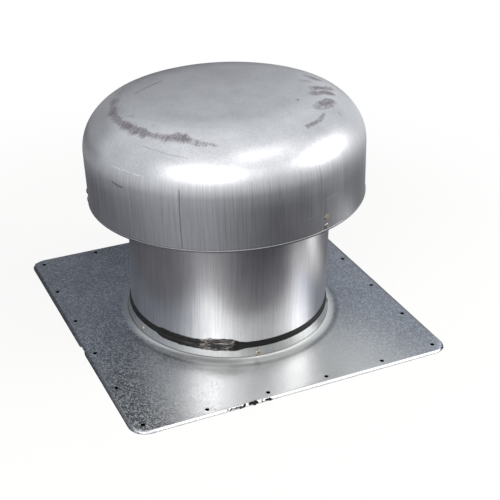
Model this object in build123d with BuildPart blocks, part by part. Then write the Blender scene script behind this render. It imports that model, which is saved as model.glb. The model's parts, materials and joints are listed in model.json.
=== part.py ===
"""Round static roof vent in galvanised sheet steel.

Sizes are in millimetres, with +Z up. The origin is the centre of the flashing, level with the lowest
edge of its bent margin, and the front is -Y. Heights that start from the deck are measured from the
flashing's flat top face. Azimuths are in degrees from the front, towards +X.
"""
import os
from math import atan2, cos, degrees, radians, sin, sqrt, tan

from build123d import *

os.makedirs("parts", exist_ok=True)

# Flashing sheet, with its outer margin broken downwards all round
flashing_sheet = 0.8
deck_width = 494.0              # between the bend lines of the margin
deck_corner_radius = 21.0       # at the bend lines
margin_width = 5.5              # along the slope
margin_angle = 30.0             # below the deck

# Screw holes of the flashing, six to a side
screw_hole_radius = 3.2
screw_row_inset = 9.6           # from the bend line
corner_hole_inset = 14.6        # from both bend lines
screw_pitch = 93.6

# Neck drawn up out of the flashing
neck_height = 18.0              # above the deck
flare_angle = 35.0              # slope of the flare, from the deck
flare_reach = 9.6               # neck wall to the foot of that slope
flare_foot_bend = 25.0          # outer bend radius at the deck
flare_neck_bend = 5.0           # outer bend radius at the neck
flare_blend_margin = 4.0        # flat ring outside the foot bend

# Throat pipe, a rolled sheet with an inside lock seam at the back
pipe_radius = 152.5             # outside
pipe_sheet = 0.8
pipe_height = 294.0             # top edge above the deck
seam_width = 11.0
seam_depth = 1.6
seam_azimuth = 180.0
seam_end_gap = 4.0              # below the screen ring

# Flared band round the foot of the pipe
band_sheet = 0.8
band_top = 20.0                 # above the deck
band_foot = 4.6                 # above the deck
band_flare = 3.0                # how far the foot stands out beyond the top

# Sealant on the band's top edge, smeared wide on one stretch
bead_top = 27.0                 # above the deck
bead_cover = 2.0                # how far it laps down over the band
bead_thickness = 0.9            # on the band
bead_bulge = 1.3                # middle of its face beyond the straight line
smear_from = -66.0
smear_to = -17.0
smear_top = 29.5                # above the deck
smear_cover = 5.5
smear_thickness = 1.7
smear_bulge = 2.2

# Pressed dome cap, which stands a little out of true on its straps
cap_sheet = 1.0
cap_radius = 207.1              # outside, at the top of the skirt
skirt_height = 78.7
skirt_draw_in = 0.7             # radius lost from skirt top to rim
shoulder_width = 86.5
shoulder_height = 72.5
crown_rise = 2.35
rim_lip_height = 1.6            # of its vertical face
rim_lip_stand = 0.9             # proud of the skirt
rim_lip_chamfer = 0.5
rim_height = 204.0              # centre of the rim above the deck
cap_shift_x = -3.1
cap_shift_y = 2.0
cap_lean_x = -2.05              # degrees, top towards +X when positive
cap_lean_y = 2.52               # degrees, top towards +Y when positive

# Straps that carry the cap
strap_count = 3
first_strap_azimuth = 16.3
strap_width = 25.0
strap_sheet = 1.5
strap_bend = 3.5                # to the middle of the sheet
strap_corner = 4.0
skirt_tab_low = 2.5             # above the rim
skirt_tab_length = 30.0
pipe_tab_length = 28.0
strap_skirt_gap = 0.7           # lets a flat tab lie in the round skirt

# Bird screen of welded wire, in a rolled ring inside the top of the pipe
ring_sheet = 1.0
ring_height = 14.0
ring_flange = 8.0
wire = 1.6
hoop_width = 3.0
mesh_pitch = 28.0

# Blind rivets
rivet_shank_radius = 2.0
rivet_head_radius = 4.0
rivet_crown_radius = 2.2        # flat top of the head
rivet_head_height = 1.6
rivet_head_edge = 0.6           # height of the head's rim
rivet_tail_radius = 2.9
rivet_tail_length = 3.0
rivet_tail_shoulder = 1.8       # length of the tail's straight part
rivet_hole_gap = 0.05
first_rivet_rise = 5.6          # from the near end of a strap's tab
rivet_pair_pitch = 13.5
collar_rivet_count = 5
first_collar_azimuth = -8.5
collar_rivet_height = 9.0       # above the deck
screen_rivet_drop = 5.0         # below the pipe's top edge

# Gap left between round faces that seat on each other
seat_gap = 0.1

# Levels and radii that follow from the sizes above
margin_drop = margin_width * sin(radians(margin_angle))
margin_reach = margin_width * cos(radians(margin_angle))
deck_top = margin_drop
deck_underside = deck_top - flashing_sheet
neck_inner = pipe_radius + seat_gap
neck_outer = neck_inner + flashing_sheet
neck_top = deck_top + neck_height
pipe_inner = pipe_radius - pipe_sheet
pipe_top = deck_top + pipe_height
band_top_level = deck_top + band_top
band_foot_level = deck_top + band_foot
band_top_inner = neck_outer + seat_gap
ring_outer = pipe_inner - seat_gap
ring_inner = ring_outer - ring_sheet
ring_foot = pipe_top - ring_height
skirt_inner = cap_radius - skirt_draw_in - cap_sheet
rivet_hole_radius = rivet_shank_radius + rivet_hole_gap

# Frames of the pipe and of the leaning cap: x to the front, z along the axis
pipe_frame = Plane(origin=(0, 0, 0), x_dir=(0, -1, 0), z_dir=(0, 0, 1))
cap_axis = Vector(tan(radians(cap_lean_x)), tan(radians(cap_lean_y)), 1).normalized()
cap_front = (Vector(0, -1, 0) - cap_axis * Vector(0, -1, 0).dot(cap_axis)).normalized()
cap_frame = Plane(
    origin=(cap_shift_x, cap_shift_y, deck_top + rim_height), x_dir=cap_front, z_dir=cap_axis
)


def section_plane(frame, azimuth):
    """Plane through a frame's axis, with x outwards at the azimuth and y along the axis."""
    outwards = frame.x_dir.rotate(Axis((0, 0, 0), frame.z_dir), azimuth)
    return Plane(origin=frame.origin, x_dir=outwards, z_dir=outwards.cross(frame.z_dir))


def rivet_seat(frame, azimuth, radius, height, tilt=0.0):
    """Plane that faces outwards from a frame's axis, turned up by the tilt, under a rivet's head."""
    section = section_plane(frame, azimuth)
    outwards = section.x_dir * cos(radians(tilt)) + section.y_dir * sin(radians(tilt))
    return Plane(
        origin=section.from_local_coords((radius, height)), x_dir=section.z_dir, z_dir=outwards
    )


def drill(seats, reach):
    """Cuts a rivet hole at each seat, through everything nearer than the reach on both sides."""
    with Locations(*seats):
        Cylinder(rivet_hole_radius, 2 * reach, mode=Mode.SUBTRACT)


def save(piece, label):
    """Labels a finished piece and writes it to its own file."""
    piece.part.label = label
    export_step(piece.part, f"parts/{label}.step")


def save_rivet(seat, grip, label):
    """Makes a set blind rivet: a low head on its seat, a shank through the grip and a bulged tail."""
    section = Plane(origin=seat.origin, x_dir=seat.x_dir, z_dir=seat.x_dir.cross(seat.z_dir))
    with BuildPart() as rivet:
        with BuildSketch(section):
            with BuildLine():
                Polyline(
                    (0, rivet_head_height),
                    (rivet_crown_radius, rivet_head_height),
                    (rivet_head_radius, rivet_head_edge),
                    (rivet_head_radius, 0),
                    (rivet_shank_radius, 0),
                    (rivet_shank_radius, -grip),
                    (rivet_tail_radius, -grip),
                    (rivet_tail_radius, -grip - rivet_tail_shoulder),
                    (rivet_shank_radius, -grip - rivet_tail_length),
                    (0, -grip - rivet_tail_length),
                    close=True,
                )
            make_face()
        revolve(axis=Axis(seat.origin, seat.z_dir))
    save(rivet, label)


def skirt_wall(height):
    """Inside radius of the skirt at a height above the rim, along the cap's axis."""
    return skirt_inner + skirt_draw_in * height / skirt_height


def skirt_reach(azimuth, level):
    """Distance from the pipe's axis to the inside of the leaning skirt, at a level."""
    outwards = section_plane(pipe_frame, azimuth).x_dir
    start = Vector(0, 0, level) - cap_frame.origin
    height = start.dot(cap_axis)
    along = outwards.dot(cap_axis)
    square = 1 - along**2
    half_slope = start.dot(outwards) - along * height
    rest = start.dot(start) - height**2 - skirt_wall(height) ** 2
    return (sqrt(half_slope**2 - square * rest) - half_slope) / square


def band_outer(level):
    """Outside radius of the flared band at a level."""
    share = (band_top_level - level) / (band_top_level - band_foot_level)
    return band_top_inner + band_sheet + band_flare * share


# Seats of the collar rivets, square to the slope of the band
band_slope = degrees(atan2(band_flare, band_top - band_foot))
collar_level = deck_top + collar_rivet_height
collar_seats = [
    rivet_seat(
        pipe_frame, first_collar_azimuth + 360 / collar_rivet_count * turn,
        band_outer(collar_level) + seat_gap, collar_level, band_slope,
    )
    for turn in range(collar_rivet_count)
]
collar_grip = (
    (band_outer(collar_level) - pipe_inner) / cos(radians(band_slope))
    + rivet_tail_radius * sin(radians(band_slope)) + 2 * seat_gap
)

# Seats of the rivets that hold each strap to the skirt and to the pipe
strap_azimuths = [first_strap_azimuth + 360 / strap_count * turn for turn in range(strap_count)]
rim_levels = [
    section_plane(cap_frame, azimuth).from_local_coords((skirt_inner, 0)).Z
    for azimuth in strap_azimuths
]
arm_levels = [level + skirt_tab_low + skirt_tab_length for level in rim_levels]
skirt_seats = []
pipe_seats = []
for azimuth, rim_level, arm_level in zip(strap_azimuths, rim_levels, arm_levels):
    pair = []
    for count in range(2):
        level = rim_level + skirt_tab_low + first_rivet_rise + rivet_pair_pitch * count
        wall = section_plane(pipe_frame, azimuth).from_local_coords((skirt_reach(azimuth, level), level))
        seen = cap_frame.to_local_coords(wall)
        pair.append(
            rivet_seat(
                cap_frame, degrees(atan2(seen.Y, seen.X)), skirt_wall(seen.Z) + cap_sheet + seat_gap,
                seen.Z,
            )
        )
    skirt_seats.append(pair)
    pipe_seats.append([
        rivet_seat(
            pipe_frame, azimuth, pipe_radius + seat_gap + strap_sheet,
            arm_level + pipe_tab_length - first_rivet_rise - rivet_pair_pitch * count,
        )
        for count in range(2)
    ])
skirt_grip = cap_sheet + strap_skirt_gap + strap_sheet + 4 * seat_gap
pipe_grip = strap_sheet + pipe_sheet + 2 * seat_gap

# Seats of the screen ring's rivets, midway between the straps
screen_seats = [
    rivet_seat(
        pipe_frame, azimuth + 180 / strap_count, pipe_radius + seat_gap, pipe_top - screen_rivet_drop
    )
    for azimuth in strap_azimuths
]
screen_grip = pipe_sheet + ring_sheet + 3 * seat_gap

# Flashing: a flat deck with a sloped margin, the drawn neck in the middle and the screw holes
flare_rise = flare_reach * tan(radians(flare_angle))
flare_foot = neck_outer + flare_reach
foot_bend_length = flare_foot_bend * tan(radians(flare_angle / 2))
neck_blend_radius = flare_foot + foot_bend_length + flare_blend_margin
screw_row = deck_width / 2 - screw_row_inset
corner_hole = deck_width / 2 - corner_hole_inset
with BuildPart() as base_flashing:
    with BuildSketch(Plane.XY.offset(deck_top)):
        RectangleRounded(deck_width, deck_width, deck_corner_radius)
    with BuildSketch(Plane.XY):
        RectangleRounded(
            deck_width + 2 * margin_reach, deck_width + 2 * margin_reach,
            deck_corner_radius + margin_reach,
        )
    loft(ruled=True)
    with BuildSketch(Plane.XY.offset(deck_underside)):
        RectangleRounded(deck_width, deck_width, deck_corner_radius)
    with BuildSketch(Plane.XY.offset(-flashing_sheet)):
        RectangleRounded(
            deck_width + 2 * margin_reach, deck_width + 2 * margin_reach,
            deck_corner_radius + margin_reach,
        )
    loft(ruled=True, mode=Mode.SUBTRACT)
    with BuildSketch(Plane.XY):
        Circle(neck_blend_radius)
    extrude(amount=deck_top, mode=Mode.SUBTRACT)
    with BuildSketch(Plane.XZ):
        with BuildLine():
            neck_face = FilletPolyline(
                (neck_blend_radius, deck_top),
                (flare_foot, deck_top),
                (neck_outer, deck_top + flare_rise),
                (neck_outer, neck_top),
                radius=[flare_foot_bend, flare_neck_bend],
            )
            offset(neck_face, amount=flashing_sheet, side=Side.LEFT)
        make_face()
    revolve(axis=Axis.Z)
    with Locations((0, 0, deck_top)):
        with GridLocations(2 * corner_hole, 2 * corner_hole, 2, 2):
            Hole(screw_hole_radius, depth=2 * flashing_sheet)
        with GridLocations(screw_pitch, 2 * screw_row, 4, 2):
            Hole(screw_hole_radius, depth=2 * flashing_sheet)
        with GridLocations(2 * screw_row, screw_pitch, 2, 4):
            Hole(screw_hole_radius, depth=2 * flashing_sheet)
    drill(collar_seats, collar_grip + flashing_sheet)
save(base_flashing, "base_flashing")

# Throat pipe, from the flashing's underside up into the cap
with BuildPart() as throat_pipe:
    with BuildSketch(Plane.XY.offset(deck_underside)):
        Circle(pipe_radius)
        Circle(pipe_inner, mode=Mode.SUBTRACT)
    extrude(amount=pipe_top - deck_underside)
    with BuildSketch(section_plane(pipe_frame, seam_azimuth)):
        with Locations((pipe_inner + pipe_sheet / 2, deck_underside)):
            Rectangle(
                seam_depth + pipe_sheet / 2, ring_foot - seam_end_gap - deck_underside,
                align=(Align.MAX, Align.MIN),
            )
    extrude(amount=seam_width / 2, both=True)
    drill(collar_seats, collar_grip + pipe_sheet)
    for pair in pipe_seats:
        drill(pair, pipe_grip + pipe_sheet)
    drill(screen_seats, screen_grip + pipe_sheet)
save(throat_pipe, "throat_pipe")

# Band: a thin cone whose top hugs the neck and whose foot rests on the flare
with BuildPart() as collar_band:
    with BuildSketch(Plane.XZ):
        with BuildLine():
            Polyline(
                (band_top_inner, band_top_level),
                (band_top_inner + band_sheet, band_top_level),
                (band_top_inner + band_sheet + band_flare, band_foot_level),
                (band_top_inner + band_flare, band_foot_level),
                close=True,
            )
        make_face()
    revolve(axis=Axis.Z)
    drill(collar_seats, collar_grip)
save(collar_band, "collar_band")


def sealant_section(plane, top, cover, thickness, bulge):
    """Sketch of the sealant's section: up the pipe, out over the band's edge and down its face."""
    inner = pipe_radius + seat_gap
    foot = band_top_level - cover
    foot_face = band_outer(foot) + seat_gap
    crest = ((inner + foot_face + thickness) / 2 + bulge, (deck_top + top + foot) / 2)
    with BuildSketch(plane) as section:
        with BuildLine():
            ThreePointArc((inner, deck_top + top), crest, (foot_face + thickness, foot))
            Polyline(
                (foot_face + thickness, foot),
                (foot_face, foot),
                (band_outer(band_top_level) + seat_gap, band_top_level + seat_gap),
                (inner, band_top_level + seat_gap),
                (inner, deck_top + top),
            )
        make_face()
    return section.sketch


# Sealant: a bead all round and a wide smear over part of it, one lump
bead_section = sealant_section(
    section_plane(pipe_frame, smear_to), bead_top, bead_cover, bead_thickness, bead_bulge
)
smear_section = sealant_section(
    section_plane(pipe_frame, smear_from), smear_top, smear_cover, smear_thickness, smear_bulge
)
smear_arc = smear_to - smear_from
with BuildPart() as sealant_bead:
    revolve(bead_section, axis=Axis.Z, revolution_arc=360 - smear_arc)
    revolve(smear_section, axis=Axis.Z, revolution_arc=smear_arc)
save(sealant_bead, "sealant_bead")

# Cap: straight skirt, elliptical shoulder and slightly crowned top, one pressed sheet
flat_radius = cap_radius - shoulder_width
shoulder_top = skirt_height + shoulder_height
rim_radius = cap_radius - skirt_draw_in
with BuildPart() as vent_cap:
    with BuildSketch(section_plane(cap_frame, 0)):
        with BuildLine():
            Polyline(
                (flat_radius, shoulder_top),
                (0, shoulder_top),
                (0, 0),
                (rim_radius, 0),
                (cap_radius, skirt_height),
            )
            EllipticalCenterArc(
                (flat_radius, skirt_height), shoulder_width, shoulder_height, start_angle=0, arc_size=90
            )
        make_face()
        with BuildLine():
            Polyline((flat_radius, shoulder_top), (0, shoulder_top), (0, shoulder_top + crown_rise))
            ThreePointArc(
                (0, shoulder_top + crown_rise),
                (flat_radius / 2, shoulder_top + crown_rise * 0.75),
                (flat_radius, shoulder_top),
            )
        make_face()
        with BuildLine():
            Polyline(
                (flat_radius, shoulder_top - cap_sheet),
                (0, shoulder_top - cap_sheet),
                (0, 0),
                (rim_radius - cap_sheet, 0),
                (cap_radius - cap_sheet, skirt_height),
            )
            EllipticalCenterArc(
                (flat_radius, skirt_height), shoulder_width - cap_sheet, shoulder_height - cap_sheet,
                start_angle=0, arc_size=90,
            )
        make_face(mode=Mode.SUBTRACT)
    revolve(axis=Axis(cap_frame.origin, cap_axis))
    with BuildSketch(section_plane(cap_frame, 0)):
        with BuildLine():
            Polyline(
                (rim_radius - cap_sheet / 2, 0),
                (rim_radius + rim_lip_stand - rim_lip_chamfer, 0),
                (rim_radius + rim_lip_stand, rim_lip_chamfer),
                (rim_radius + rim_lip_stand, rim_lip_chamfer + rim_lip_height),
                (rim_radius - cap_sheet / 2, rim_lip_chamfer + rim_lip_height + rim_lip_stand),
                close=True,
            )
        make_face()
    revolve(axis=Axis(cap_frame.origin, cap_axis))
    for pair in skirt_seats:
        drill(pair, skirt_grip)
save(vent_cap, "vent_cap")

# Straps: each bent from one strip, a tab inside the skirt, an arm across and a tab up the pipe
for turn, azimuth in enumerate(strap_azimuths):
    section = section_plane(pipe_frame, azimuth)
    tab_foot = rim_levels[turn] + skirt_tab_low
    arm_level = arm_levels[turn]
    skirt_side = strap_skirt_gap + strap_sheet / 2
    pipe_side = pipe_radius + seat_gap + strap_sheet / 2
    with BuildPart() as cap_bracket:
        with BuildLine(section):
            middle_line = FilletPolyline(
                (skirt_reach(azimuth, tab_foot) - skirt_side, tab_foot),
                (skirt_reach(azimuth, arm_level) - skirt_side, arm_level),
                (pipe_side, arm_level),
                (pipe_side, arm_level + pipe_tab_length),
                radius=strap_bend,
            )
        with BuildSketch(Plane(origin=middle_line @ 0, x_dir=section.z_dir, z_dir=middle_line % 0)):
            Rectangle(strap_width, strap_sheet)
        sweep()
        end_corners = cap_bracket.edges().filter_by(lambda edge: abs(edge.length - strap_sheet) < 0.01)
        fillet(end_corners, radius=strap_corner)
        drill(skirt_seats[turn], skirt_grip + strap_sheet)
        drill(pipe_seats[turn], pipe_grip + strap_sheet)
    save(cap_bracket, f"cap_bracket_{turn + 1}")

# Screen ring: an angle rolled to a ring, its flange turned inwards under the mesh
with BuildPart() as screen_ring:
    with BuildSketch(Plane.XZ):
        with BuildLine():
            Polyline(
                (ring_outer, pipe_top),
                (ring_outer, ring_foot),
                (ring_outer - ring_flange, ring_foot),
                (ring_outer - ring_flange, ring_foot + ring_sheet),
                (ring_inner, ring_foot + ring_sheet),
                (ring_inner, pipe_top),
                close=True,
            )
        make_face()
    revolve(axis=Axis.Z)
    drill(screen_seats, screen_grip + ring_sheet)
save(screen_ring, "screen_ring")

# Bird screen: two sets of wires welded into one grid inside a hoop, lying on the ring's flange
hoop_outer = ring_inner - seat_gap
hoop_inner = hoop_outer - hoop_width
wires_each_side = int(hoop_inner / mesh_pitch)
screen_foot = ring_foot + ring_sheet + seat_gap
with BuildPart() as bird_screen:
    with BuildSketch(Plane.XY.offset(screen_foot)):
        Circle(hoop_outer)
        Circle(hoop_inner, mode=Mode.SUBTRACT)
        for step in range(-wires_each_side, wires_each_side + 1):
            across = step * mesh_pitch
            wire_length = 2 * sqrt((hoop_inner + hoop_width / 2) ** 2 - across**2)
            with Locations((across, 0)):
                Rectangle(wire, wire_length)
            with Locations((0, across)):
                Rectangle(wire_length, wire)
    extrude(amount=wire)
save(bird_screen, "bird_screen")

# Rivets
for count, seat in enumerate(collar_seats):
    save_rivet(seat, collar_grip, f"collar_rivet_{count + 1}")
for turn in range(strap_count):
    for place, skirt_seat, pipe_seat in zip(("lower", "upper"), skirt_seats[turn], reversed(pipe_seats[turn])):
        save_rivet(skirt_seat, skirt_grip, f"cap_rivet_{turn + 1}_{place}")
        save_rivet(pipe_seat, pipe_grip, f"pipe_rivet_{turn + 1}_{place}")
for count, seat in enumerate(screen_seats):
    save_rivet(seat, screen_grip, f"screen_rivet_{count + 1}")
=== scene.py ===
"""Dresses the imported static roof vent: galvanised sheet, black sealant, rusty rivets and a plain studio.

Lengths are in millimetres unless a name ends in _m, and IN_METRES turns them to metres. Azimuths are
in degrees from the front (-Y) towards +X, about the pipe's axis or, on the cap, the cap's own.
"""
from __future__ import annotations

import json
import logging
import math
import random
from abc import ABC, abstractmethod
from collections.abc import Iterable, Sequence
from dataclasses import dataclass
from enum import Enum

import bmesh
import bpy
from mathutils import Matrix, Vector, noise

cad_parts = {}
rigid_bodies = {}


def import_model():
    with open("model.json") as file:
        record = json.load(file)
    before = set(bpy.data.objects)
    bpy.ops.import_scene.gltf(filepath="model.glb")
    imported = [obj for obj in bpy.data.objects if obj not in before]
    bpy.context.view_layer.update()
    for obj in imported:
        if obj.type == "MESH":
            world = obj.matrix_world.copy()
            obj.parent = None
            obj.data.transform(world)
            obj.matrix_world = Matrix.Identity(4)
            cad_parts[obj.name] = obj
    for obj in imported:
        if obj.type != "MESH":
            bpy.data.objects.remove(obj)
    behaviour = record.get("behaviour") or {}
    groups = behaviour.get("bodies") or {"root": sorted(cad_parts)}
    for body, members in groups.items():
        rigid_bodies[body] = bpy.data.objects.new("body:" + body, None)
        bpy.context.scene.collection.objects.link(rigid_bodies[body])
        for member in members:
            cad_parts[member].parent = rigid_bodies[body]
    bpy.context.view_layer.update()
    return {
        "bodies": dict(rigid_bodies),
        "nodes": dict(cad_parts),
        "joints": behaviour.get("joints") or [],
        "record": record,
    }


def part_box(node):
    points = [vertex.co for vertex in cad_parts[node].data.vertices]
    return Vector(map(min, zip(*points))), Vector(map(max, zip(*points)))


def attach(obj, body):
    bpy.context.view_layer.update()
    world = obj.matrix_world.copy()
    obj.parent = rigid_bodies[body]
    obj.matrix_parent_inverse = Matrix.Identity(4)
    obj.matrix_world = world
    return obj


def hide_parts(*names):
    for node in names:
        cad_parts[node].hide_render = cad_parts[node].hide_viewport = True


log = logging.getLogger("roof_vent")

Point = tuple[float, float]

METRE = 0.001
IN_METRES = Matrix.Scale(METRE, 4)
BODY = "root"
SHEET = 0.8
DECK_TOP = 2.75
PIPE_RADIUS = 152.5
PIPE_HEIGHT = 294.0
CUT_EDGE = 0.2
ROUND_STEPS = 288
AIM_M = Vector((0, 0, 0.18))


class Side(Enum):
    """Names the lamps of the studio by where they hang."""

    KEY = "key"
    KEY_SCRIM = "key_scrim"
    FRONT_SCRIM = "front_scrim"
    TOP = "top"
    RIGHT = "right"
    RIGHT_SCRIM = "right_scrim"
    OVER = "over"


def hex_colour(code: str) -> tuple[float, float, float, float]:
    """Turns an sRGB hex code of six digits to linear red, green and blue, with an alpha of 1."""
    channels = [int(code[place:place + 2], 16) / 255 for place in (0, 2, 4)]
    linear = [c / 12.92 if c <= 0.04045 else ((c + 0.055) / 1.055) ** 2.4 for c in channels]
    return (*linear, 1.0)


def smooth_step(low: float, high: float, value: float) -> float:
    """Returns 0 below low, 1 above high and a smooth rise between them."""
    share = min(max((value - low) / (high - low), 0.0), 1.0)
    return share * share * (3 - 2 * share)


def direction(azimuth: float, elevation: float) -> Vector:
    """Returns the unit vector to an azimuth and an elevation, both in degrees."""
    turn, rise = math.radians(azimuth), math.radians(elevation)
    return Vector((math.sin(turn) * math.cos(rise), -math.cos(turn) * math.cos(rise), math.sin(rise)))


@dataclass(frozen=True)
class Frame:
    """An axis in space with a front, as of the upright pipe or of the leaning cap.

    Attributes:
        origin: A point on the axis, in millimetres.
        axis: Unit vector along the axis.
    """

    origin: Vector
    axis: Vector

    def matrix(self) -> Matrix:
        """Returns the matrix from the frame's own millimetres (x front, z axis) to the row's metres."""
        forward = Vector((0, -1, 0))
        front = (forward - self.axis * forward.dot(self.axis)).normalized()
        turn = Matrix((front, self.axis.cross(front), self.axis)).transposed().to_4x4()
        return IN_METRES @ Matrix.Translation(self.origin) @ turn


PIPE_FRAME = Frame(Vector((0, 0, 0)), Vector((0, 0, 1)))
CAP_FRAME = Frame(
    Vector((-3.1, 2.0, DECK_TOP + 204.0)),
    Vector((math.tan(math.radians(-2.05)), math.tan(math.radians(2.52)), 1)).normalized(),
)


def finish_mesh(
    mesh: bmesh.types.BMesh, name: str, matrix: Matrix, smooth: bool | None = True, sharp: float = 180.0
) -> bpy.types.Object:
    """Makes an object from a bmesh, with its place in its mesh.

    Args:
        mesh: The finished bmesh, which is freed.
        name: The object's name.
        matrix: From the bmesh's units and frame to the row's metres.
        smooth: Whether its faces are shaded smooth. None leaves each face as it is.
        sharp: Turn between two faces, in degrees, above which shading breaks at their edge.

    Returns:
        The new object, at the origin.
    """
    mesh.normal_update()
    for edge in mesh.edges:
        if len(edge.link_faces) == 2 and edge.calc_face_angle(0.0) > math.radians(sharp):
            edge.smooth = False
    if smooth is not None:
        for face in mesh.faces:
            face.smooth = smooth
    bmesh.ops.transform(mesh, matrix=matrix, verts=mesh.verts)
    data = bpy.data.meshes.new(name)
    mesh.to_mesh(data)
    mesh.free()
    thing = bpy.data.objects.new(name, data)
    bpy.context.scene.collection.objects.link(thing)
    return thing


def spin_section(
    section: Sequence[Point],
    steps: int = ROUND_STEPS,
    start: float = 0.0,
    arc: float = 360.0,
    closed: bool = True,
) -> bmesh.types.BMesh:
    """Turns a section of radius and height points about the z axis with x to the front.

    Args:
        section: Points as radius and height.
        steps: Number of steps of the turn.
        start: Azimuth of the first section, in degrees.
        arc: Angle of the turn, in degrees.
        closed: Whether the last point joins the first.

    Returns:
        A bmesh with doubled points merged and faces pointing outwards.
    """
    mesh = bmesh.new()
    points = [mesh.verts.new((radius, 0, height)) for radius, height in section]
    pairs = list(zip(points, points[1:])) + ([(points[-1], points[0])] if closed else [])
    edges = [mesh.edges.new(pair) for pair in pairs]
    bmesh.ops.rotate(mesh, verts=points, cent=(0, 0, 0), matrix=Matrix.Rotation(math.radians(start), 3, "Z"))
    whole = arc >= 360
    bmesh.ops.spin(
        mesh, geom=points + edges, cent=(0, 0, 0), axis=(0, 0, 1), angle=math.radians(arc),
        steps=steps, use_merge=whole,
    )
    bmesh.ops.remove_doubles(mesh, verts=mesh.verts, dist=0.0005)
    bmesh.ops.recalc_face_normals(mesh, faces=mesh.faces)
    return mesh


def round_corners(points: Sequence[Point], radii: Sequence[float], steps: int) -> list[Point]:
    """Rounds the inner corners of an open section with tangent arcs.

    Args:
        points: The section's corner points.
        radii: One radius for each inner corner, 0 for a sharp one.
        steps: Segments of each arc.

    Returns:
        The points of the rounded section.
    """
    made = [points[0]]
    for before, corner, after, radius in zip(points, points[1:], points[2:], radii):
        here, back, ahead = Vector(corner), Vector(before), Vector(after)
        to_back, to_ahead = (back - here).normalized(), (ahead - here).normalized()
        opening = to_back.angle(to_ahead)
        if radius == 0 or math.pi - opening < 1e-4:
            made.append(corner)
            continue
        middle = here + (to_back + to_ahead).normalized() * (radius / math.sin(opening / 2))
        first = here + to_back * (radius / math.tan(opening / 2)) - middle
        last = here + to_ahead * (radius / math.tan(opening / 2)) - middle
        for step in range(steps + 1):
            share = step / steps
            made.append(tuple(middle + (first * (1 - share) + last * share).normalized() * radius))
    made.append(points[-1])
    return made


def add_rounded_square(
    mesh: bmesh.types.BMesh, half: float, radius: float, height: float
) -> list[bmesh.types.BMEdge]:
    """Adds the outline of a square with rounded corners.

    Args:
        mesh: The bmesh that gets it.
        half: Half its width.
        radius: Corner radius.
        height: Its level.

    Returns:
        Its edges.
    """
    verts = [mesh.verts.new((x * half, y * half, height)) for x, y in ((-1, -1), (1, -1), (1, 1), (-1, 1))]
    mesh.faces.new(verts)
    bmesh.ops.bevel(
        mesh, geom=verts, offset=radius, offset_type="OFFSET", segments=10, profile=0.5,
        affect="VERTICES", material=-1,
    )
    face = min(mesh.faces, key=lambda item: abs(item.calc_center_median().z - height))
    edges = list(face.edges)
    bmesh.ops.delete(mesh, geom=[face], context="FACES_ONLY")
    return edges


def add_circle(
    mesh: bmesh.types.BMesh, x: float, y: float, radius: float, segments: int
) -> list[bmesh.types.BMEdge]:
    """Adds a circle on the deck.

    Args:
        mesh: The bmesh that gets it.
        x: Place of its middle to the right.
        y: Place of its middle to the back.
        radius: Its radius.
        segments: Number of its edges.

    Returns:
        Its edges.
    """
    place = Matrix.Translation((x, y, DECK_TOP))
    made = bmesh.ops.create_circle(mesh, cap_ends=False, radius=radius, segments=segments, matrix=place)
    return list({edge for vert in made["verts"] for edge in vert.link_edges})


class Value:
    """A node's output, a number, vector, colour or surface, with arithmetic for numbers."""

    def __init__(self, shader: Shader, socket: bpy.types.NodeSocket) -> None:
        """Keeps the output and the shader that it belongs to."""
        self.shader = shader
        self.socket = socket

    def __add__(self, other: Value | float) -> Value:
        """Returns the sum."""
        return self.shader.math("ADD", self, other)

    def __sub__(self, other: Value | float) -> Value:
        """Returns the difference."""
        return self.shader.math("SUBTRACT", self, other)

    def __rsub__(self, other: float) -> Value:
        """Returns a plain number less this one."""
        return self.shader.math("SUBTRACT", other, self)

    def __mul__(self, other: Value | float) -> Value:
        """Returns the product."""
        return self.shader.math("MULTIPLY", self, other)

    def __pow__(self, other: float) -> Value:
        """Returns the power."""
        return self.shader.math("POWER", self, other)

    def __abs__(self) -> Value:
        """Returns the number without its sign."""
        return self.shader.math("ABSOLUTE", self)

    def parts(self) -> list[Value]:
        """Returns the three numbers of a vector."""
        return [Value(self.shader, socket) for socket in self.shader.add("SeparateXYZ", i0=self).outputs]


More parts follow.
